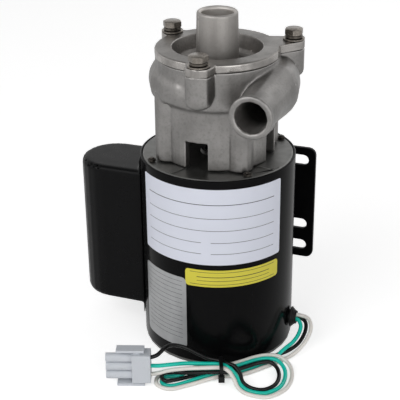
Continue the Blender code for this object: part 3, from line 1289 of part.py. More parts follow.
def lead_tie():
    """Band round the nine strands, with its head at the front."""
    side = TIE_LANE + LEAD_RADIUS + TIE_SIDE_GAP
    low = TIE_LAYERS[0] - LEAD_RADIUS - TIE_LAYER_GAP
    high = TIE_LAYERS[-1] + LEAD_RADIUS + TIE_LAYER_GAP
    corner = LEAD_RADIUS + LEAD_GAP
    hole = rounded_rectangle(side, low, high, corner, 3)
    outside = rounded_rectangle(side + TIE_THICKNESS, low - TIE_THICKNESS, high + TIE_THICKNESS,
                                corner + TIE_THICKNESS, 3)
    band = prism("lead_tie", [outside], -0.5 * TIE_WIDTH, 0.5 * TIE_WIDTH)
    head_at = side + 0.0016
    head = prism("tie_head", [rounded_rectangle(0.0018, 0.0014, 0.0058, 0.0006, 1)],
                 -0.5 * TIE_WIDTH - 0.0008, 0.5 * TIE_WIDTH + 0.0008)
    for vertex in head.data.vertices:
        vertex.co.x += head_at
    inside = prism("tie_inside", [hole], -TIE_WIDTH, TIE_WIDTH)
    for piece in (band, head, inside):
        piece.matrix_world = tie_frame() @ Matrix.Translation((0.0, 0.0, piece.location.z))
    join(band, head)
    cut(band, inside)
    part(band, BLACK_NYLON)


def plug_frame():
    """Placement that turns X along the plug towards the wires and Z up."""
    return Matrix.Translation((*PLUG_REAR, 0.0)) @ Matrix.Rotation(PLUG_ANGLE, 4, "Z")


def along_plug(name, radius, start, end, height, sides):
    """A round bar along the plug."""
    bar = cylinder(name, radius, -0.5 * (end - start), 0.5 * (end - start), sides=sides)
    lie = Matrix.Rotation(math.radians(90.0), 4, "Y")
    bar.matrix_world = plug_frame() @ Matrix.Translation((0.5 * (start + end), 0.0, height)) @ lie
    return bar


def plug_box(name, start, end, width, low, high):
    made = box(name, (end - start, width, high - low), (0.0, 0.0, 0.0))
    made.matrix_world = plug_frame() @ Matrix.Translation((0.5 * (start + end), 0.0, 0.5 * (low + high)))
    return made


def connector():
    """Three-way plug on its narrow edge: body, silos, latch wings, and a terminal in each circuit."""
    circuits = [PLUG_MIDDLE - PLUG_PITCH, PLUG_MIDDLE, PLUG_MIDDLE + PLUG_PITCH]
    low = PLUG_MIDDLE - 0.5 * PLUG_BODY_HEIGHT
    high = PLUG_MIDDLE + 0.5 * PLUG_BODY_HEIGHT
    body_end = -PLUG_BODY_LENGTH
    housing = plug_box("connector_housing", body_end, 0.0, PLUG_THICKNESS, low, high)
    additions = []
    cavities = []
    for i, height in enumerate(circuits):
        additions.append(along_plug(f"silo_{i}", SILO_RADIUS, -PLUG_LENGTH, body_end + 0.001, height, 14))
        cavities.append(along_plug(f"cavity_{i}", PLUG_BORE, -PLUG_LENGTH - 0.001, 0.001, height, 10))
    for i, (inner, outer) in enumerate(((high - 0.0005, high + WING_GAP), (low + 0.0005, low - WING_GAP))):
        outward = 1.0 if outer > inner else -1.0
        post = sorted((inner, outer))
        additions.append(plug_box(f"wing_post_{i}", body_end + 0.001, body_end + 0.005, 0.5 * PLUG_THICKNESS, *post))
        plate = sorted((outer - outward * WING_THICKNESS * 0.6, outer + outward * WING_THICKNESS * 0.4))
        additions.append(plug_box(f"wing_{i}", body_end - WING_LENGTH + 0.008, body_end + 0.008,
                                  0.7 * PLUG_THICKNESS, *plate))
    join(housing, *additions)
    cut(housing, *cavities)
    part(housing, NYLON)
    for i, height in enumerate(circuits, start=1):
        pin = along_plug(f"connector_terminal_{i}", TERMINAL_RADIUS, -PLUG_LENGTH + 0.003, -LEAD_IN_PLUG - LEAD_GAP,
                         height, 8)
        part(pin, BRASS)


motor_shell()
rear_endshield()
front_endshield()
through_bolts()
stator_core()
stator_windings()
rotor_core()
motor_shaft()
bearing("front", FRONT_BEARING)
bearing("rear", REAR_BEARING)
wave_washer()
mounting_plate()
capacitor_cover()
capacitor_cover_screws()
run_capacitor()
volute_casing()
adapter_screws()
suction_cover()
cover_oring()
cover_bolts()
impeller()
impeller_fastening()
shaft_seal()
slinger()
lead_bushing()
leads()
lead_tie()
connector()
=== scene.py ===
"""Looks of the recirculating pump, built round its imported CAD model.

Units are metres in the CAD frame: +Z is up along the shaft, the origin is on the shaft's axis in the
plane that the motor stands on, the discharge points to -Y, the mounting plate is at +Y, the capacitor
cover at -X and the leads leave the motor at +X.
"""
import json
import math

import bmesh
import bpy
import numpy as np
from mathutils import Matrix, Vector

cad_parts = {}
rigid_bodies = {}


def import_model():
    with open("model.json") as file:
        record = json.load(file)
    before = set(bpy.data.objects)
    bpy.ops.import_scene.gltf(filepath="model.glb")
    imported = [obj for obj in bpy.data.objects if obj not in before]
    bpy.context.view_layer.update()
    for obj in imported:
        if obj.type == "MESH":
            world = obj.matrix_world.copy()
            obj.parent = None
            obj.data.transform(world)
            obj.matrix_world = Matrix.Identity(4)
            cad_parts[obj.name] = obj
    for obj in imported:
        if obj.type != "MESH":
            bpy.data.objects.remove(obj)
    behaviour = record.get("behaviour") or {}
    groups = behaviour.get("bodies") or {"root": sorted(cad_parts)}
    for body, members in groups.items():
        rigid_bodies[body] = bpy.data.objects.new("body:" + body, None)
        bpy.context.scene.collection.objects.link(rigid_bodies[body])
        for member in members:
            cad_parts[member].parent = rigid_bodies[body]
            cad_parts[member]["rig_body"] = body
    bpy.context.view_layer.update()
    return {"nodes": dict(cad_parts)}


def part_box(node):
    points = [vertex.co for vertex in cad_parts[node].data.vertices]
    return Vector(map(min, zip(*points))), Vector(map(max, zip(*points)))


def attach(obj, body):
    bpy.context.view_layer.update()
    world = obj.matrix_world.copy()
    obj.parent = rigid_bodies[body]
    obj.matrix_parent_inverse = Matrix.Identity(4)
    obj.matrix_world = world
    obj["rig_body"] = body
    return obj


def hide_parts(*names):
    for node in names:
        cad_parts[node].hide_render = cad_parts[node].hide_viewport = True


for left_over in list(bpy.data.objects):
    bpy.data.objects.remove(left_over)

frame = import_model()
NODES = frame["nodes"]

# Camera of the photograph
CAMERA_PLACE = Vector((0.22319, -0.62512, 0.41371))
CAMERA_AHEAD = Vector((-0.319024, 0.844812, -0.429555))
CAMERA_UP = Vector((-0.141171, 0.405823, 0.902983))
CAMERA_LENS = 99.08

# Sizes that the dressed pieces share with the frame, in metres
SHELL_RADIUS = 0.0508
SHELL_WALL = 0.0012
SHELL_EDGE = 0.0006             # rounding of the rolled shell's two edges
SHELL_STEPS = 192
QUARTER_STEPS = 4               # edges in a quarter circle of a profile
RING_STEPS = 48                 # points round a fastener
HEX_FACE = 0.00025              # height of the washer face below a hexagon
NUT_APOTHEM = 0.00242
NUT_HEIGHT = 0.0017
NUT_HOLE = 0.00165
ROD_RADIUS = 0.00155            # of a through bolt
ROD_HEAD = 0.0030
BOLT_APOTHEM = 0.00537
BOLT_HEAD_HEIGHT = 0.0040
BOLT_SHANK = 0.0030
BOLT_TURNS = {"front": 14.0, "right": 39.0, "left": 64.0}
WASHER_HOLE = 0.0034
WASHER_EDGE = 0.00015
WASHER_STEPS = 60
SPRING_SPLIT = 14.0             # degrees between the two ends of a lock washer
SPRING_LIFT = 0.00020           # rise of a lock washer from one end of its split to the other
BUSHING_TURN = math.radians(3.7)
BUSHING_HEIGHT = 0.0160

# Labels
LABEL_LIFT = 0.00001
LABEL_THICKNESS = 0.00008
RULE_THICKNESS = 0.00002
LABEL_STEP = math.radians(1.5)

# Castings
LANTERN_TOP = 0.1560
LANTERN_RADIUS = 0.0371
DRUM_BOTTOM = 0.1752            # where the drum's underside runs into the lantern's wall
FLANGE_FACE = 0.1996
BOSS_DROP = 0.0028              # the front boss reaches this much lower than its solid
COLUMN_RISE = 0.0100            # and the front left column this much higher
EAR_GROWTH = 0.0011             # each side of the front ear lies this much further out
NOZZLE_OFFSET = 0.0386
NOZZLE_HEIGHT = 0.1798
NOZZLE_END = 0.0523
LIP_GROWTH = 0.0012
NECK_SHARE = 0.25               # of the lip's growth, as it is on the neck behind

# Spans over which the castings' changes of shape set in or fade, in metres
COLUMN_SPAN = (0.0086, 0.0094)        # from a lantern column's axis
COLUMN_FACE_SPAN = (0.0376, 0.0386)   # from the shaft
COLUMN_RISE_SPAN = (0.1680, 0.1714)
COLUMN_END_SPAN = (0.1722, 0.1730)
DRUM_SPAN = (0.1660, 0.1672)
DRUM_SIDE_SPAN = (0.0397, 0.0424)
BOSS_SPAN = (0.0074, 0.0086)          # from the front bolt's axis
BOSS_FACE_SPAN = (0.0396, 0.0404)
BOSS_TOP_SPAN = (0.1850, 0.1930)
EAR_FOOT_SPAN = (0.1790, 0.1812)
EAR_FACE_SPAN = (0.0395, 0.0411)
EAR_SIDE_SPAN = (0.0036, 0.0052)      # to each side of the ear's middle
EAR_END_SPAN = (0.0100, 0.0130)
NOZZLE_WALL_SPAN = (0.0106, 0.0122)   # from the nozzle's axis
NOZZLE_ROOT_SPAN = (0.0300, 0.0360)   # from the shaft
LIP_SPAN = (0.0024, 0.0052)           # back from the nozzle's end
NECK_SPAN = (0.0060, 0.0180)

# Spans over which the castings' finish and the painted light in their bores change, in metres
TUBE_SPAN = (0.0135, 0.0150)          # outside the suction tube
BORE_SPAN = (0.0110, 0.0122)          # outside its bore
THROAT_SPAN = (0.0104, 0.0112)        # outside the discharge's bore
THROAT_END_SPAN = (-0.040, -0.030)    # along Y
MOUTH_SPAN = (-0.0518, -0.0488)


# ---------------------------------------------------------------- objects

def shown(name, mesh):
    """A new object with this mesh, shown in the scene."""
    made = bpy.data.objects.new(name, mesh)
    bpy.context.scene.collection.objects.link(made)
    return made


def polar(radius, angle):
    """X and Y of a point at this distance and angle from the axis."""
    return radius * math.cos(angle), radius * math.sin(angle)


def axis_of(node):
    """X and Y of the middle of a node's box."""
    low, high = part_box(node)
    return 0.5 * (low.x + high.x), 0.5 * (low.y + high.y)


def soften(mesh, degrees=35.0):
    """Smooth shading that breaks at edges sharper than this."""
    mesh.polygons.foreach_set("use_smooth", [True] * len(mesh.polygons))
    mesh.set_sharp_from_angle(angle=math.radians(degrees))


def stands_for(made, node):
    """The piece replaces this node and rides on its body."""
    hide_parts(node)
    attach(made, NODES[node]["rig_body"])
    return made


def paint(made, finish):
    """Gives the piece this material alone."""
    made.data.materials.clear()
    made.data.materials.append(finish)
    return made


def clean_copy(node, name):
    """The node's mesh as a new piece, welded and with its flat faces whole."""
    work = bmesh.new()
    work.from_mesh(NODES[node].data)
    bmesh.ops.remove_doubles(work, verts=work.verts, dist=2e-6)
    bmesh.ops.dissolve_limit(work, angle_limit=math.radians(0.6), verts=work.verts, edges=work.edges)
    mesh = bpy.data.meshes.new(name)
    work.to_mesh(mesh)
    work.free()
    return shown(name, mesh)


def settle(made):
    """Applies the piece's modifiers."""
    bpy.context.view_layer.update()
    result = bpy.data.meshes.new_from_object(made.evaluated_get(bpy.context.evaluated_depsgraph_get()))
    made.modifiers.clear()
    old = made.data
    made.data = result
    bpy.data.meshes.remove(old)
    return made


def dressed(node, finish, edge):
    """A node with its sharp edges rounded."""
    made = clean_copy(node, f"fine_{node}")
    soften(made.data, 60.0)
    rounding = made.modifiers.new("edges", "BEVEL")
    rounding.width = edge
    rounding.segments = 2
    rounding.limit_method = "ANGLE"
    rounding.angle_limit = math.radians(32.0)
    level = made.modifiers.new("level", "WEIGHTED_NORMAL")
    level.keep_sharp = True
    settle(made)
    paint(made, finish)
    return stands_for(made, node)


def points_of(mesh):
    """The mesh's points as rows of an array."""
    place = np.empty(3 * len(mesh.vertices))
    mesh.vertices.foreach_get("co", place)
    return place.reshape(-1, 3)


def relax(mesh, rounds, share=1.0):
    """Moves each point towards its neighbours' middle; share is how far, for all points or for each."""
    count = len(mesh.vertices)
    place = points_of(mesh)
    edges = np.empty(2 * len(mesh.edges), np.int32)
    mesh.edges.foreach_get("vertices", edges)
    a, b = edges[0::2], edges[1::2]
    neighbours = np.bincount(edges, minlength=count)
    step = 0.5 * np.broadcast_to(np.asarray(share, float), count)
    for _ in range(rounds):
        for axis in range(3):
            column = place[:, axis]
            total = np.bincount(a, column[b], count) + np.bincount(b, column[a], count)
            place[:, axis] = column + step * (total / neighbours - column)
    mesh.vertices.foreach_set("co", place.ravel())
    mesh.update()


def ramp(value, start, end):
    """0 before start, 1 after end, and smooth between them."""
    t = np.clip((value - start) / (end - start), 0.0, 1.0)
    return t * t * (3.0 - 2.0 * t)


def cast(node, finish, voxel, rounds, soft=None, soft_rounds=0, shape=None):
    """A node as a casting: its edges and corners run into each other in small fillets.
    shape moves its points first, and soft gives each point's share of more rounds."""
    made = clean_copy(node, f"cast_{node}")
    cells = made.modifiers.new("cells", "REMESH")
    cells.mode = "VOXEL"
    cells.voxel_size = voxel
    cells.use_smooth_shade = True
    settle(made)
    if shape is not None:
        made.data.vertices.foreach_set("co", shape(points_of(made.data)).ravel())
    if soft is not None:
        relax(made.data, soft_rounds, soft(points_of(made.data)))
    relax(made.data, rounds)
    paint(made, finish)
    return stands_for(made, node)


def finished(work, name):
    """The bmesh as a piece in the scene."""
    bmesh.ops.recalc_face_normals(work, faces=work.faces)
    mesh = bpy.data.meshes.new(name)
    work.to_mesh(mesh)
    work.free()
    soften(mesh)
    return shown(name, mesh)


def turned(name, profile, steps):
    """A closed (radius, height) profile turned round the Z axis."""
    work = bmesh.new()
    rings = []
    for step in range(steps):
        angle = 2.0 * math.pi * step / steps
        rings.append([work.verts.new((*polar(r, angle), z)) for r, z in profile])
    for a, b in zip(rings, rings[1:] + rings[:1]):
        for i in range(len(profile)):
            j = (i + 1) % len(profile)
            work.faces.new((a[i], b[i], b[j], a[j]))
    return finished(work, name)


def quarter(centre, radius, start):
    """Points of a quarter circle in a profile."""
    angles = [start + 0.5 * math.pi * i / QUARTER_STEPS for i in range(QUARTER_STEPS + 1)]
    return [(centre[0] + radius * math.cos(angle), centre[1] + radius * math.sin(angle))
            for angle in angles]


def skin(name, rings, looped=False):
    """A surface through rings of points, each ring closed, with a cap at both ends unless it is looped."""
    work = bmesh.new()
    rows = [[work.verts.new(point) for point in ring] for ring in rings]
    pairs = list(zip(rows, rows[1:])) + ([(rows[-1], rows[0])] if looped else [])
    for a, b in pairs:
        for i in range(len(a)):
            j = (i + 1) % len(a)
            work.faces.new((a[i], a[j], b[j], b[i]))
    if not looped:
        work.faces.new(rows[0][::-1])
        work.faces.new(rows[-1])
    return finished(work, name)


def ring_at(place, radius, height, turn=0.0):
    """A ring round an upright axis; the radius may depend on the angle and the height on the radius."""
    ring = []
    for i in range(RING_STEPS):
        angle = 2.0 * math.pi * i / RING_STEPS
        reach = radius(angle) if callable(radius) else radius
        x, y = polar(reach, angle + turn)
        ring.append((place[0] + x, place[1] + y, height(reach) if callable(height) else height))
    return ring


def hexagon(apothem):
    """Distance from the axis to a hexagon's side at an angle, with a corner at angle 0."""
    return lambda angle: apothem / math.cos((angle % (math.pi / 3.0)) - math.pi / 6.0)


def hex_rings(place, apothem, low, high, turn):
    """Rings of a hexagon with a washer face below and a chamfer above."""
    flat = 0.95 * apothem
    side = hexagon(apothem)
    slope = math.tan(math.radians(28.0))
    return [
        ring_at(place, flat, low, turn), ring_at(place, flat, low + HEX_FACE, turn),
        ring_at(place, side, lambda r: low + HEX_FACE + (r - flat) * 0.15, turn),
        ring_at(place, side, lambda r: high - (r - flat) * slope, turn),
        ring_at(place, flat, high, turn),
    ]


def sheet_columns(start, end, corner, radius):
    """Angles at which a wrapped sheet has points, closer together in its rounded corners."""
    turn = corner / radius
    corners = [turn * (1.0 - math.cos(0.5 * math.pi * i / 5)) for i in range(5)] if corner else []
    count = max(1, math.ceil((end - start - 2.0 * turn) / LABEL_STEP))
    middle = [start + turn + (end - start - 2.0 * turn) * i / count for i in range(count + 1)]
    return [start + c for c in corners] + middle + [end - c for c in reversed(corners)]


def wrapped(name, radius, patches, thickness, finish, corner=0.0):
    """Thin sheets bent round the shell: each patch is (start, end, low, high) in degrees and metres."""
    work = bmesh.new()
    for first, last, low, high in patches:
        start, end = math.radians(first), math.radians(last)
        rows = []
        for angle in sheet_columns(start, end, corner, radius):
            edge = min(angle - start, end - angle) * radius
            drop = 0.0
            if edge < corner:
                drop = corner - math.sqrt(max(0.0, corner ** 2 - (corner - edge) ** 2))
            rows.append([work.verts.new((*polar(r, angle), z))
                         for r, z in ((radius, low + drop), (radius + thickness, low + drop),
                                      (radius + thickness, high - drop), (radius, high - drop))])
        for a, b in zip(rows, rows[1:]):
            for i in range(4):
                work.faces.new((a[i], b[i], b[(i + 1) % 4], a[(i + 1) % 4]))
        work.faces.new(rows[0])
        work.faces.new(rows[-1][::-1])
    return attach(paint(finished(work, name), finish), "casing")


# ---------------------------------------------------------------- materials

class Shader:
    """A material being made, with short ways to add and join its nodes."""

    def __init__(self, name):
        self.material = bpy.data.materials.new(name)
        self.material.use_nodes = True
        self.tree = self.material.node_tree
        self.tree.nodes.clear()
        self.out = self.add("OutputMaterial")
        self.bsdf = self.add("BsdfPrincipled")
        self.join(self.bsdf.outputs[0], self.out.inputs["Surface"])
        self.place = self.add("TexCoord").outputs["Object"]
        self.height = None

    def add(self, kind, **values):
        made = self.tree.nodes.new("ShaderNode" + kind)
        for key, value in values.items():
            setattr(made, key, value)
        return made

    def join(self, output, socket):
        self.tree.links.new(output, socket)

    def number(self, socket, value):
        """Sets a socket, or joins it if the value is an output."""
        if isinstance(value, (int, float, tuple)):
            socket.default_value = value
        else:
            self.join(value, socket)

    def maths(self, operation, a, b=0.0):
        made = self.add("Math", operation=operation)
        self.number(made.inputs[0], a)
        self.number(made.inputs[1], b)
        return made.outputs[0]

    def vector(self, operation, a, b=(0.0, 0.0, 0.0)):
        """Outputs of a sum on a joined vector and a fixed one."""
        made = self.add("VectorMath", operation=operation)
        self.join(a, made.inputs[0])
        made.inputs[1].default_value = b
        return made.outputs

    def split(self, output, axis):
        """One coordinate of a vector."""
        made = self.add("SeparateXYZ")
        self.join(output, made.inputs[0])
        return made.outputs[axis]

    def reach(self, centre, across):
        """Distance from an axis through centre; across is 1 in the two directions square to it."""
        shifted = self.vector("SUBTRACT", self.place, centre)["Vector"]
        return self.vector("LENGTH", self.vector("MULTIPLY", shifted, across)["Vector"])["Value"]

    def noise(self, size, detail=3.0, offset=(0.0, 0.0, 0.0)):
        """Noise with features about this many metres across."""
        where = self.add("Mapping")
        where.inputs["Location"].default_value = offset
        self.join(self.place, where.inputs["Vector"])
        made = self.add("TexNoise")
        self.join(where.outputs[0], made.inputs["Vector"])
        made.inputs["Scale"].default_value = 1.0 / size
        made.inputs["Detail"].default_value = detail
        made.inputs["Roughness"].default_value = 0.55
        return made.outputs["Fac"]

    def spread(self, value, low, high, start=0.3, end=0.7):
        """Goes from low to high as the value goes from start to end."""
        made = self.add("MapRange")
        self.number(made.inputs["Value"], value)
        for key, number in (("From Min", start), ("From Max", end), ("To Min", low), ("To Max", high)):
            self.number(made.inputs[key], number)
        return made.outputs["Result"]

    def blend(self, share, a, b):
        """The colour a where share is 0 and b where it is 1."""
        made = self.add("Mix", data_type="RGBA")
        self.number(made.inputs[0], share)
        self.number(made.inputs[6], a)
        self.number(made.inputs[7], b)
        return made.outputs[2]

    def bump(self, height, depth):
        """Adds relief of this depth in metres on top of what is there."""
        made = self.add("Bump")
        made.inputs["Distance"].default_value = depth
        self.join(height, made.inputs["Height"])
        if self.height is not None:
            self.join(self.height, made.inputs["Normal"])
        self.height = made.outputs["Normal"]

    def finish(self, colour, rough, metal=0.0, **sockets):
        """Joins everything to the surface and gives the material back."""
        self.number(self.bsdf.inputs["Base Color"], colour)
        self.number(self.bsdf.inputs["Roughness"], rough)
        self.bsdf.inputs["Metallic"].default_value = metal
        for key, value in sockets.items():
            self.bsdf.inputs[key.replace("_", " ")].default_value = value
        if self.height is not None:
            self.join(self.height, self.bsdf.inputs["Normal"])
        return self.material


def rgb(red, green, blue):
    """A colour given as it shows, from 0 to 255, as the shader takes it."""
    def straight(value):
        value /= 255.0
        return value / 12.92 if value <= 0.04045 else ((value + 0.055) / 1.055) ** 2.4
    return (straight(red), straight(green), straight(blue), 1.0)


def scaled(colour, factor):
    """The colour made lighter or darker, no lighter than white."""
    return tuple(min(1.0, c * factor) for c in colour[:3]) + (1.0,)


def plain(name, colour, rough, metal=0.0, vary=0.12, blotch=0.012, grain=0.0006, depth=0.00001,
          rough_spread=0.06, **sockets):
    """Colour and roughness that drift a little, over a fine grain."""
    s = Shader(name)
    drift = s.noise(blotch)
    tone = s.blend(s.spread(drift, 0.0, 1.0), scaled(colour, 1.0 - vary), scaled(colour, 1.0 + vary))
    fine = s.noise(grain, detail=2.0)
    rough_now = s.spread(s.noise(blotch * 0.4, offset=(3.0, 1.0, 2.0)),
                         rough - rough_spread, rough + rough_spread)
    if depth > 0.0:
        s.bump(fine, depth)
    return s.finish(tone, rough_now, metal, **sockets)


def cast_steel(name, colour, rough=0.42, bright=1.5, rim=None, throat=None):
    """Tumbled stainless casting: satin, with soft pits, cloudy patches, rubbed edges and painted shade in
    its hollows. Beyond the radius rim its upright sides are polished in patches and lightened there by a
    painted highlight, and the tube on its axis is lighter, with painted light down the hole through it;
    throat is the place of a discharge passage that has painted light in it."""
    s = Shader(name)
    cloud = s.noise(0.016, detail=4.0)
    speck = s.noise(0.0016, offset=(5.0, 0.0, 1.0))
    tone = s.blend(s.spread(cloud, 0.0, 1.0), scaled(colour, 0.82), scaled(colour, 1.14))
    tone = s.blend(s.spread(speck, 0.0, 0.35, 0.50, 0.72), tone, scaled(colour, 0.50))
    sharpness = s.add("NewGeometry").outputs["Pointiness"]
    edge = s.spread(sharpness, 0.0, 1.0, 0.515, 0.56)
    # Painted shade: the colour darkens in hollows and concave creases.
    painted_hollow_shade = s.spread(sharpness, 1.0, 0.0, 0.44, 0.485)
    tone = s.blend(edge, tone, scaled(colour, bright))
    tone = s.blend(s.maths("MULTIPLY", painted_hollow_shade, 0.55), tone, scaled(colour, 0.35))
    s.bump(s.noise(0.0040, detail=2.0, offset=(1.0, 7.0, 3.0)), 0.00010)
    s.bump(s.noise(0.0007), 0.00003)
    satin = s.spread(cloud, rough + 0.05, rough - 0.05)
    satin = s.maths("SUBTRACT", satin, s.maths("MULTIPLY", edge, 0.16))
    if rim is not None:
        reach = s.reach((0.0, 0.0, 0.0), (1.0, 1.0, 0.0))
        slope = s.maths("ABSOLUTE", s.split(s.add("NewGeometry").outputs["Normal"], "Z"))
        upright = s.spread(slope, 1.0, 0.0, 0.35, 0.75)
        patches = s.spread(s.noise(0.022, offset=(2.0, 2.0, 6.0)), 0.25, 1.0, 0.40, 0.58)
        # Polished upright sides beyond the rim: lower roughness, and a painted highlight that lightens
        # their colour towards 1.9 times in patches.
        side = s.maths("MULTIPLY", s.spread(reach, 0.0, 1.0, rim, rim + 0.0008), upright)
        side = s.maths("MULTIPLY", side, patches)
        tone = s.blend(s.maths("MULTIPLY", side, 0.85), tone, scaled(colour, 1.9))
        tube = s.spread(reach, 1.0, 0.0, *TUBE_SPAN)
        tone = s.blend(s.maths("MULTIPLY", tube, 0.48), tone, scaled(colour, 1.9))
        # Painted light: the hole through the suction tube is lightened towards 3 times the colour.
        painted_bore_light = s.spread(reach, 1.0, 0.0, *BORE_SPAN)
        tone = s.blend(s.maths("MULTIPLY", painted_bore_light, 0.50), tone, scaled(colour, 3.0))
        satin = s.maths("ADD", satin, s.maths("MULTIPLY", tube, 0.14))
        satin = s.maths("SUBTRACT", satin, s.maths("MULTIPLY", side, 0.17))
    if throat is not None:
        # Painted light: the discharge's bore is lightened towards 3.4 times the colour for a short way in
        # from its mouth.
        along = s.split(s.place, "Y")
        painted_throat_light = s.spread(s.reach(throat, (1.0, 0.0, 1.0)), 1.0, 0.0, *THROAT_SPAN)
        painted_throat_light = s.maths("MULTIPLY", painted_throat_light, s.spread(along, 1.0, 0.0, *THROAT_END_SPAN))
        painted_throat_light = s.maths("MULTIPLY", painted_throat_light, s.spread(along, 0.0, 1.0, *MOUTH_SPAN))
        tone = s.blend(s.maths("MULTIPLY", painted_throat_light, 0.75), tone, scaled(colour, 3.4))
    return s.finish(tone, satin, 1.0)


STEEL = rgb(160, 157, 152)
CAST = cast_steel("cast_stainless", rgb(141, 139, 137), throat=(NOZZLE_OFFSET, 0.0, NOZZLE_HEIGHT))
COVER = cast_steel("cover_stainless", rgb(138, 135, 132), rough=0.38, bright=1.9, rim=0.0385)
MACHINED = plain("machined_stainless", rgb(168, 165, 160), 0.26, 1.0,
                 vary=0.08, grain=0.0003, depth=0.000004)
BOLT = plain("bolt_stainless", rgb(132, 126, 119), 0.30, 1.0,
             vary=0.22, blotch=0.0025, grain=0.0005, depth=0.00001)
ZINC = plain("zinc_plate", rgb(150, 151, 152), 0.32, 1.0,
             vary=0.12, blotch=0.003, grain=0.0004, depth=0.000005)
WASHER_DARK = plain("washer_steel", rgb(96, 91, 85), 0.32, 1.0, vary=0.15, blotch=0.002)
DARK_STEEL = plain("dark_steel", rgb(70, 66, 62), 0.36, 1.0, vary=0.18, blotch=0.003)
BRIGHT_SHAFT = plain("ground_shaft", STEEL, 0.20, 1.0, vary=0.04, grain=0.0002, depth=0.000003)
ENDSHIELD = plain("endshield_aluminium", rgb(122, 122, 120), 0.44, 1.0,
                  vary=0.10, blotch=0.010, grain=0.0009, depth=0.00002)
GLOSS_BLACK = plain("shell_black", rgb(9, 9, 10), 0.17, vary=0.10, blotch=0.03, grain=0.0022,
                    depth=0.000010, rough_spread=0.03, Specular_IOR_Level=0.07)
SATIN_BLACK = plain("cover_black", rgb(10, 10, 11), 0.30, vary=0.12, blotch=0.02, grain=0.0011,
                    depth=0.00003, rough_spread=0.05, Specular_IOR_Level=0.10)
PLATE_BLACK = plain("plate_black", rgb(8, 8, 9), 0.34, vary=0.12, blotch=0.02, grain=0.0012,
                    depth=0.00002, Specular_IOR_Level=0.08)
RUBBER = plain("rubber", rgb(18, 18, 18), 0.50, vary=0.10, blotch=0.004, Specular_IOR_Level=0.25)
CARBON = plain("carbon", rgb(38, 38, 40), 0.45, vary=0.10)
CERAMIC = plain("ceramic", rgb(226, 221, 208), 0.35, vary=0.04)
LAMINATION = plain("laminations", rgb(120, 118, 116), 0.45, 1.0, vary=0.15)
COPPER = plain("windings", rgb(178, 92, 52), 0.40, 0.6, vary=0.20, blotch=0.003)
BEARING_STEEL = plain("bearing_steel", rgb(190, 190, 192), 0.22, 1.0, vary=0.05)
CAPACITOR_CAN = plain("capacitor_can", rgb(60, 61, 64), 0.40, vary=0.08)
NYLON_BLACK = plain("tie_nylon", rgb(17, 17, 18), 0.38, vary=0.10, blotch=0.003, Specular_IOR_Level=0.25)
NYLON_CLEAR = plain("plug_nylon", rgb(208, 212, 218), 0.30, vary=0.015, blotch=0.006, depth=0.0,
                    rough_spread=0.03)
BRASS = plain("terminal_brass", rgb(214, 190, 130), 0.28, 1.0, vary=0.08, blotch=0.002)
LEAD_FINISH = {
    "lead_black": plain("insulation_black", rgb(15, 15, 16), 0.28,
                        vary=0.10, blotch=0.01, depth=0.000004, Specular_IOR_Level=0.3),
    "lead_green": plain("insulation_green", rgb(8, 208, 186), 0.32,
                        vary=0.07, blotch=0.01, depth=0.000004),
    "lead_white": plain("insulation_white", rgb(240, 236, 230), 0.34,
                        vary=0.04, blotch=0.01, depth=0.000004),
}
LABEL_WHITE = plain("label_white", rgb(222, 225, 237), 0.42, vary=0.015, blotch=0.02, depth=0.000003)
LABEL_YELLOW = plain("label_yellow", rgb(218, 207, 66), 0.38, vary=0.03, blotch=0.02, depth=0.000003)
LABEL_SILVER = plain("nameplate_silver", rgb(176, 177, 178), 0.36, 0.6,
                     vary=0.06, blotch=0.006, depth=0.000004)
INK = plain("label_ink", rgb(22, 22, 24), 0.45, vary=0.05)


# ---------------------------------------------------------------- camera

camera_data = bpy.data.cameras.new("camera")
camera_data.lens = CAMERA_LENS
camera_data.sensor_width = 36.0
camera_data.clip_start = 0.01
camera_data.clip_end = 50.0
camera = bpy.data.objects.new("camera", camera_data)
across = CAMERA_AHEAD.cross(CAMERA_UP).normalized()
over = across.cross(CAMERA_AHEAD).normalized()
turn = Matrix((across, over, -CAMERA_AHEAD.normalized())).transposed()
camera.matrix_world = Matrix.Translation(CAMERA_PLACE) @ turn.to_4x4()
bpy.context.scene.collection.objects.link(camera)
bpy.context.scene.camera = camera


# ---------------------------------------------------------------- leads

LEAD_RADIUS = 0.00135
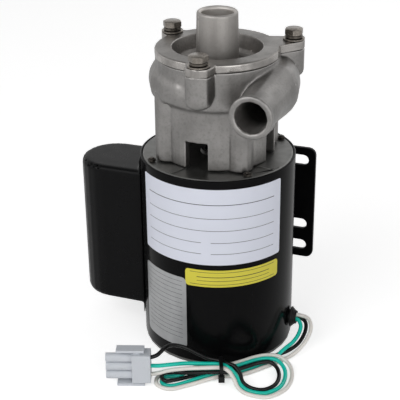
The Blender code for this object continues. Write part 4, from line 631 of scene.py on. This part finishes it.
# Points that each lead goes through from the bushing to the plug, in millimetres
LEAD_ROUTES = {
    "lead_black": (
        (46.0, 4.5, 15.15), (52.0, 4.85, 15.15), (57.5, 5.3, 15.1), (62.2, 3.3, 13.3),
        (63.6, -2.8, 9.6), (61.4, -10.4, 4.8), (56.2, -17.6, 2.0), (50.2, -24.4, 1.5),
        (46.2, -29.5, 1.6), (41.0, -36.5, 1.7), (34.0, -45.5, 1.7), (27.3, -51.9, 2.2),
        (21.0, -54.8, 2.6), (14.5, -58.6, 2.1), (8.0, -64.6, 1.8), (2.5, -71.3, 2.6),
        (-1.7, -78.7, 4.7), (-6.2, -82.4, 5.2), (-10.2, -80.3, 5.2), (-11.4, -77.0, 5.2),
        (-10.2, -73.7, 5.2), (-6.0, -72.0, 5.4), (0.0, -71.6, 6.1), (6.5, -69.4, 6.0),
        (15.0, -65.6, 5.9), (24.0, -62.2, 5.9), (29.5, -58.6, 5.6), (35.5, -51.4, 5.1),
        (42.0, -43.8, 5.0), (49.5, -39.2, 5.0), (55.8, -42.2, 3.4), (59.3, -49.8, 1.8),
        (59.0, -59.0, 1.7), (53.8, -66.0, 1.7), (46.0, -67.0, 1.9), (39.5, -64.4, 3.2),
        (36.0, -60.0, 6.4), (31.2, -57.0, 8.9), (26.2, -56.2, 9.3), (21.0, -54.8, 9.2),
        (15.5, -54.9, 9.3), (10.4, -55.2, 10.0), (4.6, -55.8, 12.4), (-2.4, -57.0, 15.6),
        (-8.6, -60.6, 18.6), (-11.8, -66.6, 20.6), (-12.6, -73.0, 21.2), (-14.0, -78.2, 20.6),
        (-17.5, -81.0, 19.9), (-22.0, -82.6, 19.85),
    ),
    "lead_green": (
        (46.0, 1.5, 15.15), (52.0, 1.85, 15.15), (57.0, 2.2, 15.0), (60.0, -0.9, 12.2),
        (59.8, -6.0, 8.6), (58.0, -12.5, 6.2), (55.2, -18.5, 5.0), (52.9, -23.6, 3.9),
        (50.9, -28.2, 2.2), (44.6, -37.6, 1.7), (37.2, -47.2, 1.7), (30.0, -54.6, 2.2),
        (22.5, -58.5, 2.6), (15.8, -62.9, 2.1), (9.5, -69.0, 1.7), (3.5, -75.8, 1.7),
        (-1.5, -80.6, 1.7), (-6.0, -82.3, 1.7), (-10.2, -80.4, 1.7), (-11.4, -77.0, 1.7),
        (-10.2, -73.6, 1.7), (-6.0, -71.7, 1.9), (-1.2, -69.9, 3.0), (3.8, -66.9, 5.0),
        (12.5, -62.3, 5.9), (22.5, -58.5, 5.9), (28.5, -54.4, 5.6), (34.0, -47.5, 5.1),
        (40.3, -40.3, 5.0), (47.0, -35.8, 5.0), (54.2, -35.6, 4.8), (60.5, -41.0, 3.0),
        (63.3, -50.0, 1.7), (62.6, -60.6, 1.7), (56.0, -69.2, 1.7), (46.0, -70.6, 1.9),
        (39.0, -67.8, 3.2), (34.6, -63.4, 6.3), (28.6, -60.3, 9.0), (22.5, -58.5, 9.2),
        (11.5, -62.2, 9.6), (1.0, -67.4, 10.8), (-6.5, -74.4, 12.6), (-12.4, -79.2, 13.5),
        (-17.3, -81.0, 13.5), (-22.0, -82.6, 13.5),
    ),
    "lead_white": (
        (46.0, 3.0, 17.75), (52.0, 3.35, 17.75), (58.5, 3.8, 17.9), (64.6, 2.6, 16.6),
        (67.6, -3.2, 12.6), (66.2, -11.4, 7.4), (61.8, -20.4, 3.2), (55.9, -29.0, 1.7),
        (48.3, -39.4, 1.7), (40.6, -49.4, 1.7), (32.6, -57.8, 2.1), (24.0, -62.2, 2.6),
        (17.2, -67.2, 2.1), (11.0, -73.2, 1.7), (4.5, -79.6, 1.7), (-0.8, -84.2, 1.7),
        (-6.0, -85.8, 1.7), (-12.3, -83.5, 1.7), (-15.1, -77.0, 1.7), (-12.3, -70.5, 1.7),
        (-6.0, -67.6, 1.7), (1.0, -63.6, 3.2), (9.5, -58.6, 5.6), (21.0, -54.8, 5.9),
        (27.2, -50.8, 5.6), (32.8, -44.0, 5.1), (39.0, -36.9, 5.0), (46.0, -32.0, 5.0),
        (54.0, -31.0, 5.0), (62.5, -36.0, 3.2), (67.2, -47.0, 1.7), (66.8, -61.0, 1.7),
        (58.8, -72.6, 1.7), (46.2, -74.2, 1.9), (38.8, -71.6, 3.2), (34.8, -67.8, 6.2),
        (30.0, -64.1, 8.9), (24.0, -62.2, 9.2), (13.0, -66.6, 9.5), (2.0, -72.0, 9.8),
        (-7.0, -76.8, 9.4), (-12.4, -79.4, 8.0), (-17.3, -81.0, 7.15), (-22.0, -82.6, 7.15),
    ),
}
LEAD_STEP = 1.3                 # longest piece of a lead between two points, in millimetres


def smooth_route(points):
    """Points of a Catmull-Rom curve through the chosen points, in metres."""
    line = [Vector(point) for point in points]
    line = [2.0 * line[0] - line[1], *line, 2.0 * line[-1] - line[-2]]
    route = [line[1]]
    for a, b, c, d in zip(line, line[1:], line[2:], line[3:]):
        pieces = max(1, math.ceil((c - b).length / LEAD_STEP))
        for i in range(1, pieces + 1):
            t = i / pieces
            route.append(0.5 * (2.0 * b + (c - a) * t + (2.0 * a - 5.0 * b + 4.0 * c - d) * t ** 2
                                + (3.0 * b - a - 3.0 * c + d) * t ** 3))
    return [0.001 * point for point in route]


plug = dressed("connector_housing", NYLON_CLEAR, 0.0003)
for lead_name, chosen in LEAD_ROUTES.items():
    route = smooth_route(chosen)
    line = bpy.data.curves.new(f"wire_{lead_name}", "CURVE")
    line.dimensions = "3D"
    spline = line.splines.new("POLY")
    spline.points.add(len(route) - 1)
    for point, place in zip(spline.points, route):
        point.co = (*place, 1.0)
    line.bevel_depth = LEAD_RADIUS
    line.bevel_resolution = 5
    line.use_fill_caps = True
    line.materials.append(LEAD_FINISH[lead_name])
    wire = shown(f"wire_{lead_name}", line)
    stands_for(wire, lead_name)


# ---------------------------------------------------------------- motor

shell_low, shell_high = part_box("motor_shell")
inner = SHELL_RADIUS - SHELL_WALL
outer_edge = SHELL_RADIUS - SHELL_EDGE
shell_profile = [(inner, shell_low.z),
                 *quarter((outer_edge, shell_low.z + SHELL_EDGE), SHELL_EDGE, -0.5 * math.pi),
                 *quarter((outer_edge, shell_high.z - SHELL_EDGE), SHELL_EDGE, 0.0),
                 (inner, shell_high.z)]
shell = paint(turned("fine_motor_shell", shell_profile, SHELL_STEPS), GLOSS_BLACK)
stands_for(shell, "motor_shell")


def shell_label(name, field, corner, finish, rules):
    """A label on the shell, with plain ruled lines on it. The field is in degrees and shell radii;
    each rule is (start, end, height, line) in shares of the field, with its line in metres."""
    first, last, low, high = field
    low, high = low * SHELL_RADIUS, high * SHELL_RADIUS
    face = SHELL_RADIUS + LABEL_LIFT
    wrapped(name, face, [(first, last, low, high)], LABEL_THICKNESS, finish, corner)
    patches = []
    for start, end, height, line in rules:
        middle = low + (high - low) * height
        patches.append((first + (last - first) * start, first + (last - first) * end,
                        middle - 0.5 * line, middle + 0.5 * line))
    top = face + LABEL_THICKNESS
    return wrapped(name + "_rules", top, patches, RULE_THICKNESS, INK)


shell_label("label_white", (-136.5, -19.5, 1.495, 2.533), 0.0015, LABEL_WHITE, [
    (0.06, 0.94, 0.80, 0.00045), (0.06, 0.94, 0.62, 0.00030), (0.06, 0.94, 0.46, 0.00030),
    (0.06, 0.46, 0.30, 0.00030), (0.52, 0.94, 0.30, 0.00030), (0.06, 0.46, 0.15, 0.00030),
    (0.52, 0.94, 0.15, 0.00030)])
shell_label("label_yellow", (-95.0, -21.4, 1.18, 1.42), 0.0022, LABEL_YELLOW, [
    (0.05, 0.95, 0.86, 0.00030), (0.12, 0.88, 0.58, 0.00045), (0.12, 0.88, 0.36, 0.00030),
    (0.05, 0.95, 0.14, 0.00030)])
shell_label("nameplate", (-138.0, -94.5, 0.225, 1.265), 0.0030, LABEL_SILVER, [
    (0.08, 0.92, 0.94 - 0.062 * row, 0.00022) for row in range(14)])

PLAIN_NODES = {
    "front_endshield": (ENDSHIELD, 0.0004), "rear_endshield": (ENDSHIELD, 0.0004),
    "mounting_plate": (PLATE_BLACK, 0.0004),
    "lead_tie": (NYLON_BLACK, 0.0002),
    "capacitor_cover_screw_upper": (ZINC, 0.0002), "capacitor_cover_screw_lower": (ZINC, 0.0002),
}
for node, (finish, edge) in PLAIN_NODES.items():
    dressed(node, finish, edge)

bushing_profile = [
    (0.0034, -0.0024), (0.0049, -0.0024), (0.0049, 0.0008), (0.0067, 0.0008), (0.0070, 0.0011),
    (0.0070, 0.0016), (0.0066, 0.0020), (0.0060, 0.0021), (0.0060, 0.0026), (0.0057, 0.0029),
    (0.0052, 0.0030), (0.0052, 0.0035), (0.0049, 0.0038), (0.0046, 0.0040), (0.0046, 0.0048),
    (0.0044, 0.0050), (0.0037, 0.0050), (0.0034, 0.0047),
]
bushing = paint(turned("fine_lead_bushing", bushing_profile, 64), RUBBER)
bushing.data.transform(Matrix.Translation((*polar(SHELL_RADIUS, BUSHING_TURN), BUSHING_HEIGHT))
                       @ Matrix.Rotation(BUSHING_TURN, 4, "Z")
                       @ Matrix.Rotation(math.radians(90.0), 4, "Y"))
stands_for(bushing, "lead_bushing")

for index in range(1, 5):
    middle = axis_of(f"through_bolt_nut_{index}")
    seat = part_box(f"through_bolt_nut_{index}")[0].z
    turn = math.radians(20.0 + 35.0 * index)
    top = seat + NUT_HEIGHT
    rings = [ring_at(middle, NUT_HOLE, seat), *hex_rings(middle, NUT_APOTHEM, seat, top, turn),
             ring_at(middle, NUT_HOLE + 0.0002, top), ring_at(middle, NUT_HOLE, top - 0.0002)]
    stands_for(paint(skin(f"fine_through_nut_{index}", rings, looped=True), DARK_STEEL),
               f"through_bolt_nut_{index}")
    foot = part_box(f"through_bolt_{index}")[0].z
    rings = [ring_at(middle, NUT_APOTHEM, foot),
             ring_at(middle, hexagon(NUT_APOTHEM), foot + 0.0002, turn),
             ring_at(middle, hexagon(NUT_APOTHEM), foot + ROD_HEAD, turn),
             ring_at(middle, ROD_RADIUS, foot + ROD_HEAD),
             ring_at(middle, ROD_RADIUS, top + 0.0004), ring_at(middle, 0.00120, top + 0.0008)]
    stands_for(paint(skin(f"fine_through_bolt_{index}", rings), DARK_STEEL), f"through_bolt_{index}")


def washer_rings(kind, middle, low, high):
    """Sections of a flat washer, or of a lock washer that is split and rises round its ring."""
    reach = 0.5 * (high.x - low.x)
    section = ((WASHER_HOLE, low.z), (reach - WASHER_EDGE, low.z), (reach, low.z + WASHER_EDGE),
               (reach, high.z - WASHER_EDGE), (reach - WASHER_EDGE, high.z), (WASHER_HOLE, high.z))
    rings = []
    for step in range(WASHER_STEPS + 1):
        share = step / WASHER_STEPS
        angle, lift = 2.0 * math.pi * share, 0.0
        if kind == "lock":
            angle = math.radians(SPRING_SPLIT + (360.0 - SPRING_SPLIT) * share)
            lift = (share - 0.5) * SPRING_LIFT
        rings.append([(middle[0] + r * math.cos(angle), middle[1] + r * math.sin(angle), z + lift)
                      for r, z in section])
    return rings if kind == "lock" else rings[:-1]


for ear, degrees in BOLT_TURNS.items():
    low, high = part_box(f"cover_bolt_{ear}")
    middle = axis_of(f"cover_bolt_{ear}")
    head = high.z - BOLT_HEAD_HEIGHT
    rings = [ring_at(middle, 0.0026, low.z), ring_at(middle, BOLT_SHANK, low.z + 0.0005),
             ring_at(middle, BOLT_SHANK, head),
             *hex_rings(middle, BOLT_APOTHEM, head, high.z, math.radians(degrees))]
    stands_for(paint(skin(f"fine_cover_bolt_{ear}", rings), BOLT), f"cover_bolt_{ear}")
    for kind, finish in (("flat", BOLT), ("lock", WASHER_DARK)):
        rings = washer_rings(kind, middle, *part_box(f"cover_{kind}_washer_{ear}"))
        washer = skin(f"fine_{kind}_washer_{ear}", rings, looped=kind == "flat")
        stands_for(paint(washer, finish), f"cover_{kind}_washer_{ear}")


# ---------------------------------------------------------------- castings

cast("capacitor_cover", SATIN_BLACK, voxel=0.0007, rounds=5)


def scroll_softness(points):
    """The scroll and nozzle run into each other softly; the lantern and flange face keep their edges."""
    height = points[:, 2]
    below = 1.0 - ramp(height, FLANGE_FACE - 0.0030, FLANGE_FACE)
    return ramp(height, LANTERN_TOP, LANTERN_TOP + 0.004) * below


def widened_ear(points):
    """The front ear and its boss grow wider at the sides."""
    ahead = Vector(axis_of("cover_bolt_front")).normalized()
    along = points[:, 0] * ahead.x + points[:, 1] * ahead.y
    across = points[:, 1] * ahead.x - points[:, 0] * ahead.y
    share = ramp(along, *EAR_FACE_SPAN) * (1.0 - ramp(np.abs(across), *EAR_END_SPAN))
    share *= ramp(np.abs(across), *EAR_SIDE_SPAN)
    wider = np.sign(across) * EAR_GROWTH * share * ramp(points[:, 2], *EAR_FOOT_SPAN)
    moved = points.copy()
    moved[:, 0] -= wider * ahead.y
    moved[:, 1] += wider * ahead.x
    return moved


def beaded_lip(points):
    """The discharge ends in a thick rounded lip in front of a slightly thickened neck."""
    side, up = points[:, 0] - NOZZLE_OFFSET, points[:, 2] - NOZZLE_HEIGHT
    reach = np.hypot(side, up)
    back = points[:, 1] + NOZZLE_END
    outside = ramp(reach, *NOZZLE_WALL_SPAN)
    bead = LIP_GROWTH * (1.0 - (1.0 - NECK_SHARE) * ramp(back, *LIP_SPAN))
    bead *= (1.0 - ramp(back, *NECK_SPAN)) * outside * ramp(-points[:, 1], *NOZZLE_ROOT_SPAN)
    factor = 1.0 + bead / np.maximum(reach, 0.001)
    return np.column_stack((NOZZLE_OFFSET + side * factor, points[:, 1], NOZZLE_HEIGHT + up * factor))


def casing_shape(points):
    """Takes the drum's underside up the lantern's wall, the front left column up into the scroll and
    the front boss further down."""
    x, y, z = points.T
    reach = np.hypot(x, y)
    columns = np.zeros(len(points))
    rise = np.zeros(len(points))
    for index in range(1, 5):
        low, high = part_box(f"adapter_screw_{index}")
        middle = 0.5 * (low + high)
        zone = 1.0 - ramp(np.hypot(x - middle.x, y - middle.y), *COLUMN_SPAN)
        columns = np.maximum(columns, zone)
        if middle.x < 0.0 and middle.y < 0.0:
            rise = zone * ramp(reach, *COLUMN_FACE_SPAN) * ramp(z, *COLUMN_RISE_SPAN)
            rise *= 1.0 - ramp(z, *COLUMN_END_SPAN)
    below = 1.0 - ramp(z, DRUM_BOTTOM - 0.0022, DRUM_BOTTOM + 0.0006)
    outside = ramp(reach, LANTERN_RADIUS - 0.0004, LANTERN_RADIUS)
    outside *= 1.0 - ramp(reach, *DRUM_SIDE_SPAN)
    factor = below * outside * ramp(z, *DRUM_SPAN) * (1.0 - columns)
    wanted = np.minimum(reach, LANTERN_RADIUS) / np.maximum(reach, 1e-6)
    scale = 1.0 + factor * (wanted - 1.0)
    along, across = axis_of("cover_bolt_front")
    away = np.hypot(x - along, y - across)
    drop = BOSS_DROP * (1.0 - ramp(away, *BOSS_SPAN)) * ramp(reach, *BOSS_FACE_SPAN)
    drop *= (1.0 - ramp(z, *BOSS_TOP_SPAN)) * ramp(z, *EAR_FOOT_SPAN)
    moved = np.column_stack((x * scale, y * scale, z - drop + COLUMN_RISE * rise))
    return beaded_lip(widened_ear(moved))


cast("volute_casing", CAST, voxel=0.00050, rounds=3, soft=scroll_softness, soft_rounds=22,
     shape=casing_shape)
cast("suction_cover", COVER, voxel=0.00040, rounds=3, shape=widened_ear)

# Finishes of the nodes that are shown as they are, by a part of their names
KEPT = {
    "shaft": BRIGHT_SHAFT, "slinger": RUBBER, "adapter": ZINC, "impeller": MACHINED, "seal_head": CARBON,
    "seal_seat": CERAMIC, "seal_spring": ZINC, "stator_core": LAMINATION, "stator_windings": COPPER,
    "rotor_core": LAMINATION, "bearing": BEARING_STEEL, "wave_washer": ZINC, "run_capacitor": CAPACITOR_CAN,
    "terminal": BRASS, "oring": RUBBER,
}
for node, holder in NODES.items():
    finish = next((material for part, material in KEPT.items() if part in node), None)
    if finish is not None:
        paint(holder, finish)


# ---------------------------------------------------------------- stage

MIDDLE = Vector((0.0, 0.0, 0.11))
FLOOR_REACH = 6.0               # from the middle to each side of the floor
FLOOR_GLOW = 0.58               # light of its own that keeps the floor white in pictures
MIRRORED_SHARE = 0.4            # of the floor's own light, as it shows in reflections
DIFFUSE_SHARE = 0.55            # of the backdrop's light, as it falls on rough surfaces
ZENITH = 0.35                   # brightness straight up, against 1 at the horizon


def emitter(name, place, side, power):
    """A square lamp that faces the middle of the pump."""
    data = bpy.data.lights.new(name, "AREA")
    data.shape = "RECTANGLE"
    data.size = data.size_y = side
    data.energy = power
    lamp = bpy.data.objects.new(name, data)
    lamp.location = place
    lamp.rotation_mode = "QUATERNION"
    lamp.rotation_quaternion = (MIDDLE - Vector(place)).to_track_quat("-Z", "Y")
    bpy.context.scene.collection.objects.link(lamp)


emitter("key", (-0.45, -0.95, 0.80), 1.0, 5.8)
emitter("fill", (0.75, -0.75, 0.45), 0.9, 3.0)
emitter("rim", (0.30, 0.95, 0.80), 0.8, 1.2)

floor_shader = Shader("floor")
paths = floor_shader.add("LightPath")
white = floor_shader.add("Emission")
white.inputs["Strength"].default_value = FLOOR_GLOW
mixed = floor_shader.add("AddShader")
seen = floor_shader.add("MixShader")
floor_shader.finish(rgb(240, 240, 240), 0.9)
floor_shader.join(floor_shader.bsdf.outputs[0], mixed.inputs[0])
floor_shader.join(white.outputs[0], mixed.inputs[1])
mirrored = floor_shader.maths("MULTIPLY", paths.outputs["Is Glossy Ray"], MIRRORED_SHARE)
floor_shader.join(floor_shader.maths("MAXIMUM", paths.outputs["Is Camera Ray"], mirrored), seen.inputs[0])
floor_shader.join(floor_shader.bsdf.outputs[0], seen.inputs[1])
floor_shader.join(mixed.outputs[0], seen.inputs[2])
floor_shader.join(seen.outputs[0], floor_shader.out.inputs["Surface"])
floor_mesh = bpy.data.meshes.new("floor")
floor_mesh.from_pydata([(FLOOR_REACH * x, FLOOR_REACH * y, 0.0)
                        for x, y in ((-1, -1), (1, -1), (1, 1), (-1, 1))], [], [(0, 1, 2, 3)])
floor = paint(shown("floor", floor_mesh), floor_shader.material)
floor.location.z = -0.0001

world = bpy.data.worlds.new("studio")
bpy.context.scene.world = world
world.use_nodes = True
sky = world.node_tree
sky.nodes.clear()
rays = sky.nodes.new("ShaderNodeLightPath")
looked_at = rays.outputs["Is Camera Ray"]
for kind in ("Is Glossy Ray", "Is Transmission Ray"):
    either = sky.nodes.new("ShaderNodeMath")
    either.operation = "ADD"
    either.use_clamp = True
    sky.links.new(looked_at, either.inputs[0])
    sky.links.new(rays.outputs[kind], either.inputs[1])
    looked_at = either.outputs[0]
level = sky.nodes.new("ShaderNodeMapRange")
level.inputs["To Min"].default_value = DIFFUSE_SHARE
level.inputs["To Max"].default_value = 1.0
sky.links.new(looked_at, level.inputs["Value"])
backdrop = sky.nodes.new("ShaderNodeBackground")
direction = sky.nodes.new("ShaderNodeTexCoord")
upward = sky.nodes.new("ShaderNodeSeparateXYZ")
sky.links.new(direction.outputs["Generated"], upward.inputs[0])
darker = sky.nodes.new("ShaderNodeMapRange")
for key, number in (("From Min", 0.20), ("From Max", 0.85), ("To Min", 1.0), ("To Max", ZENITH)):
    darker.inputs[key].default_value = number
sky.links.new(upward.outputs["Z"], darker.inputs["Value"])
sky.links.new(darker.outputs["Result"], backdrop.inputs["Color"])
sky.links.new(level.outputs["Result"], backdrop.inputs["Strength"])
sky_out = sky.nodes.new("ShaderNodeOutputWorld")
sky.links.new(backdrop.outputs[0], sky_out.inputs["Surface"])

bpy.context.scene.view_settings.view_transform = "Standard"

bpy.context.view_layer.update()
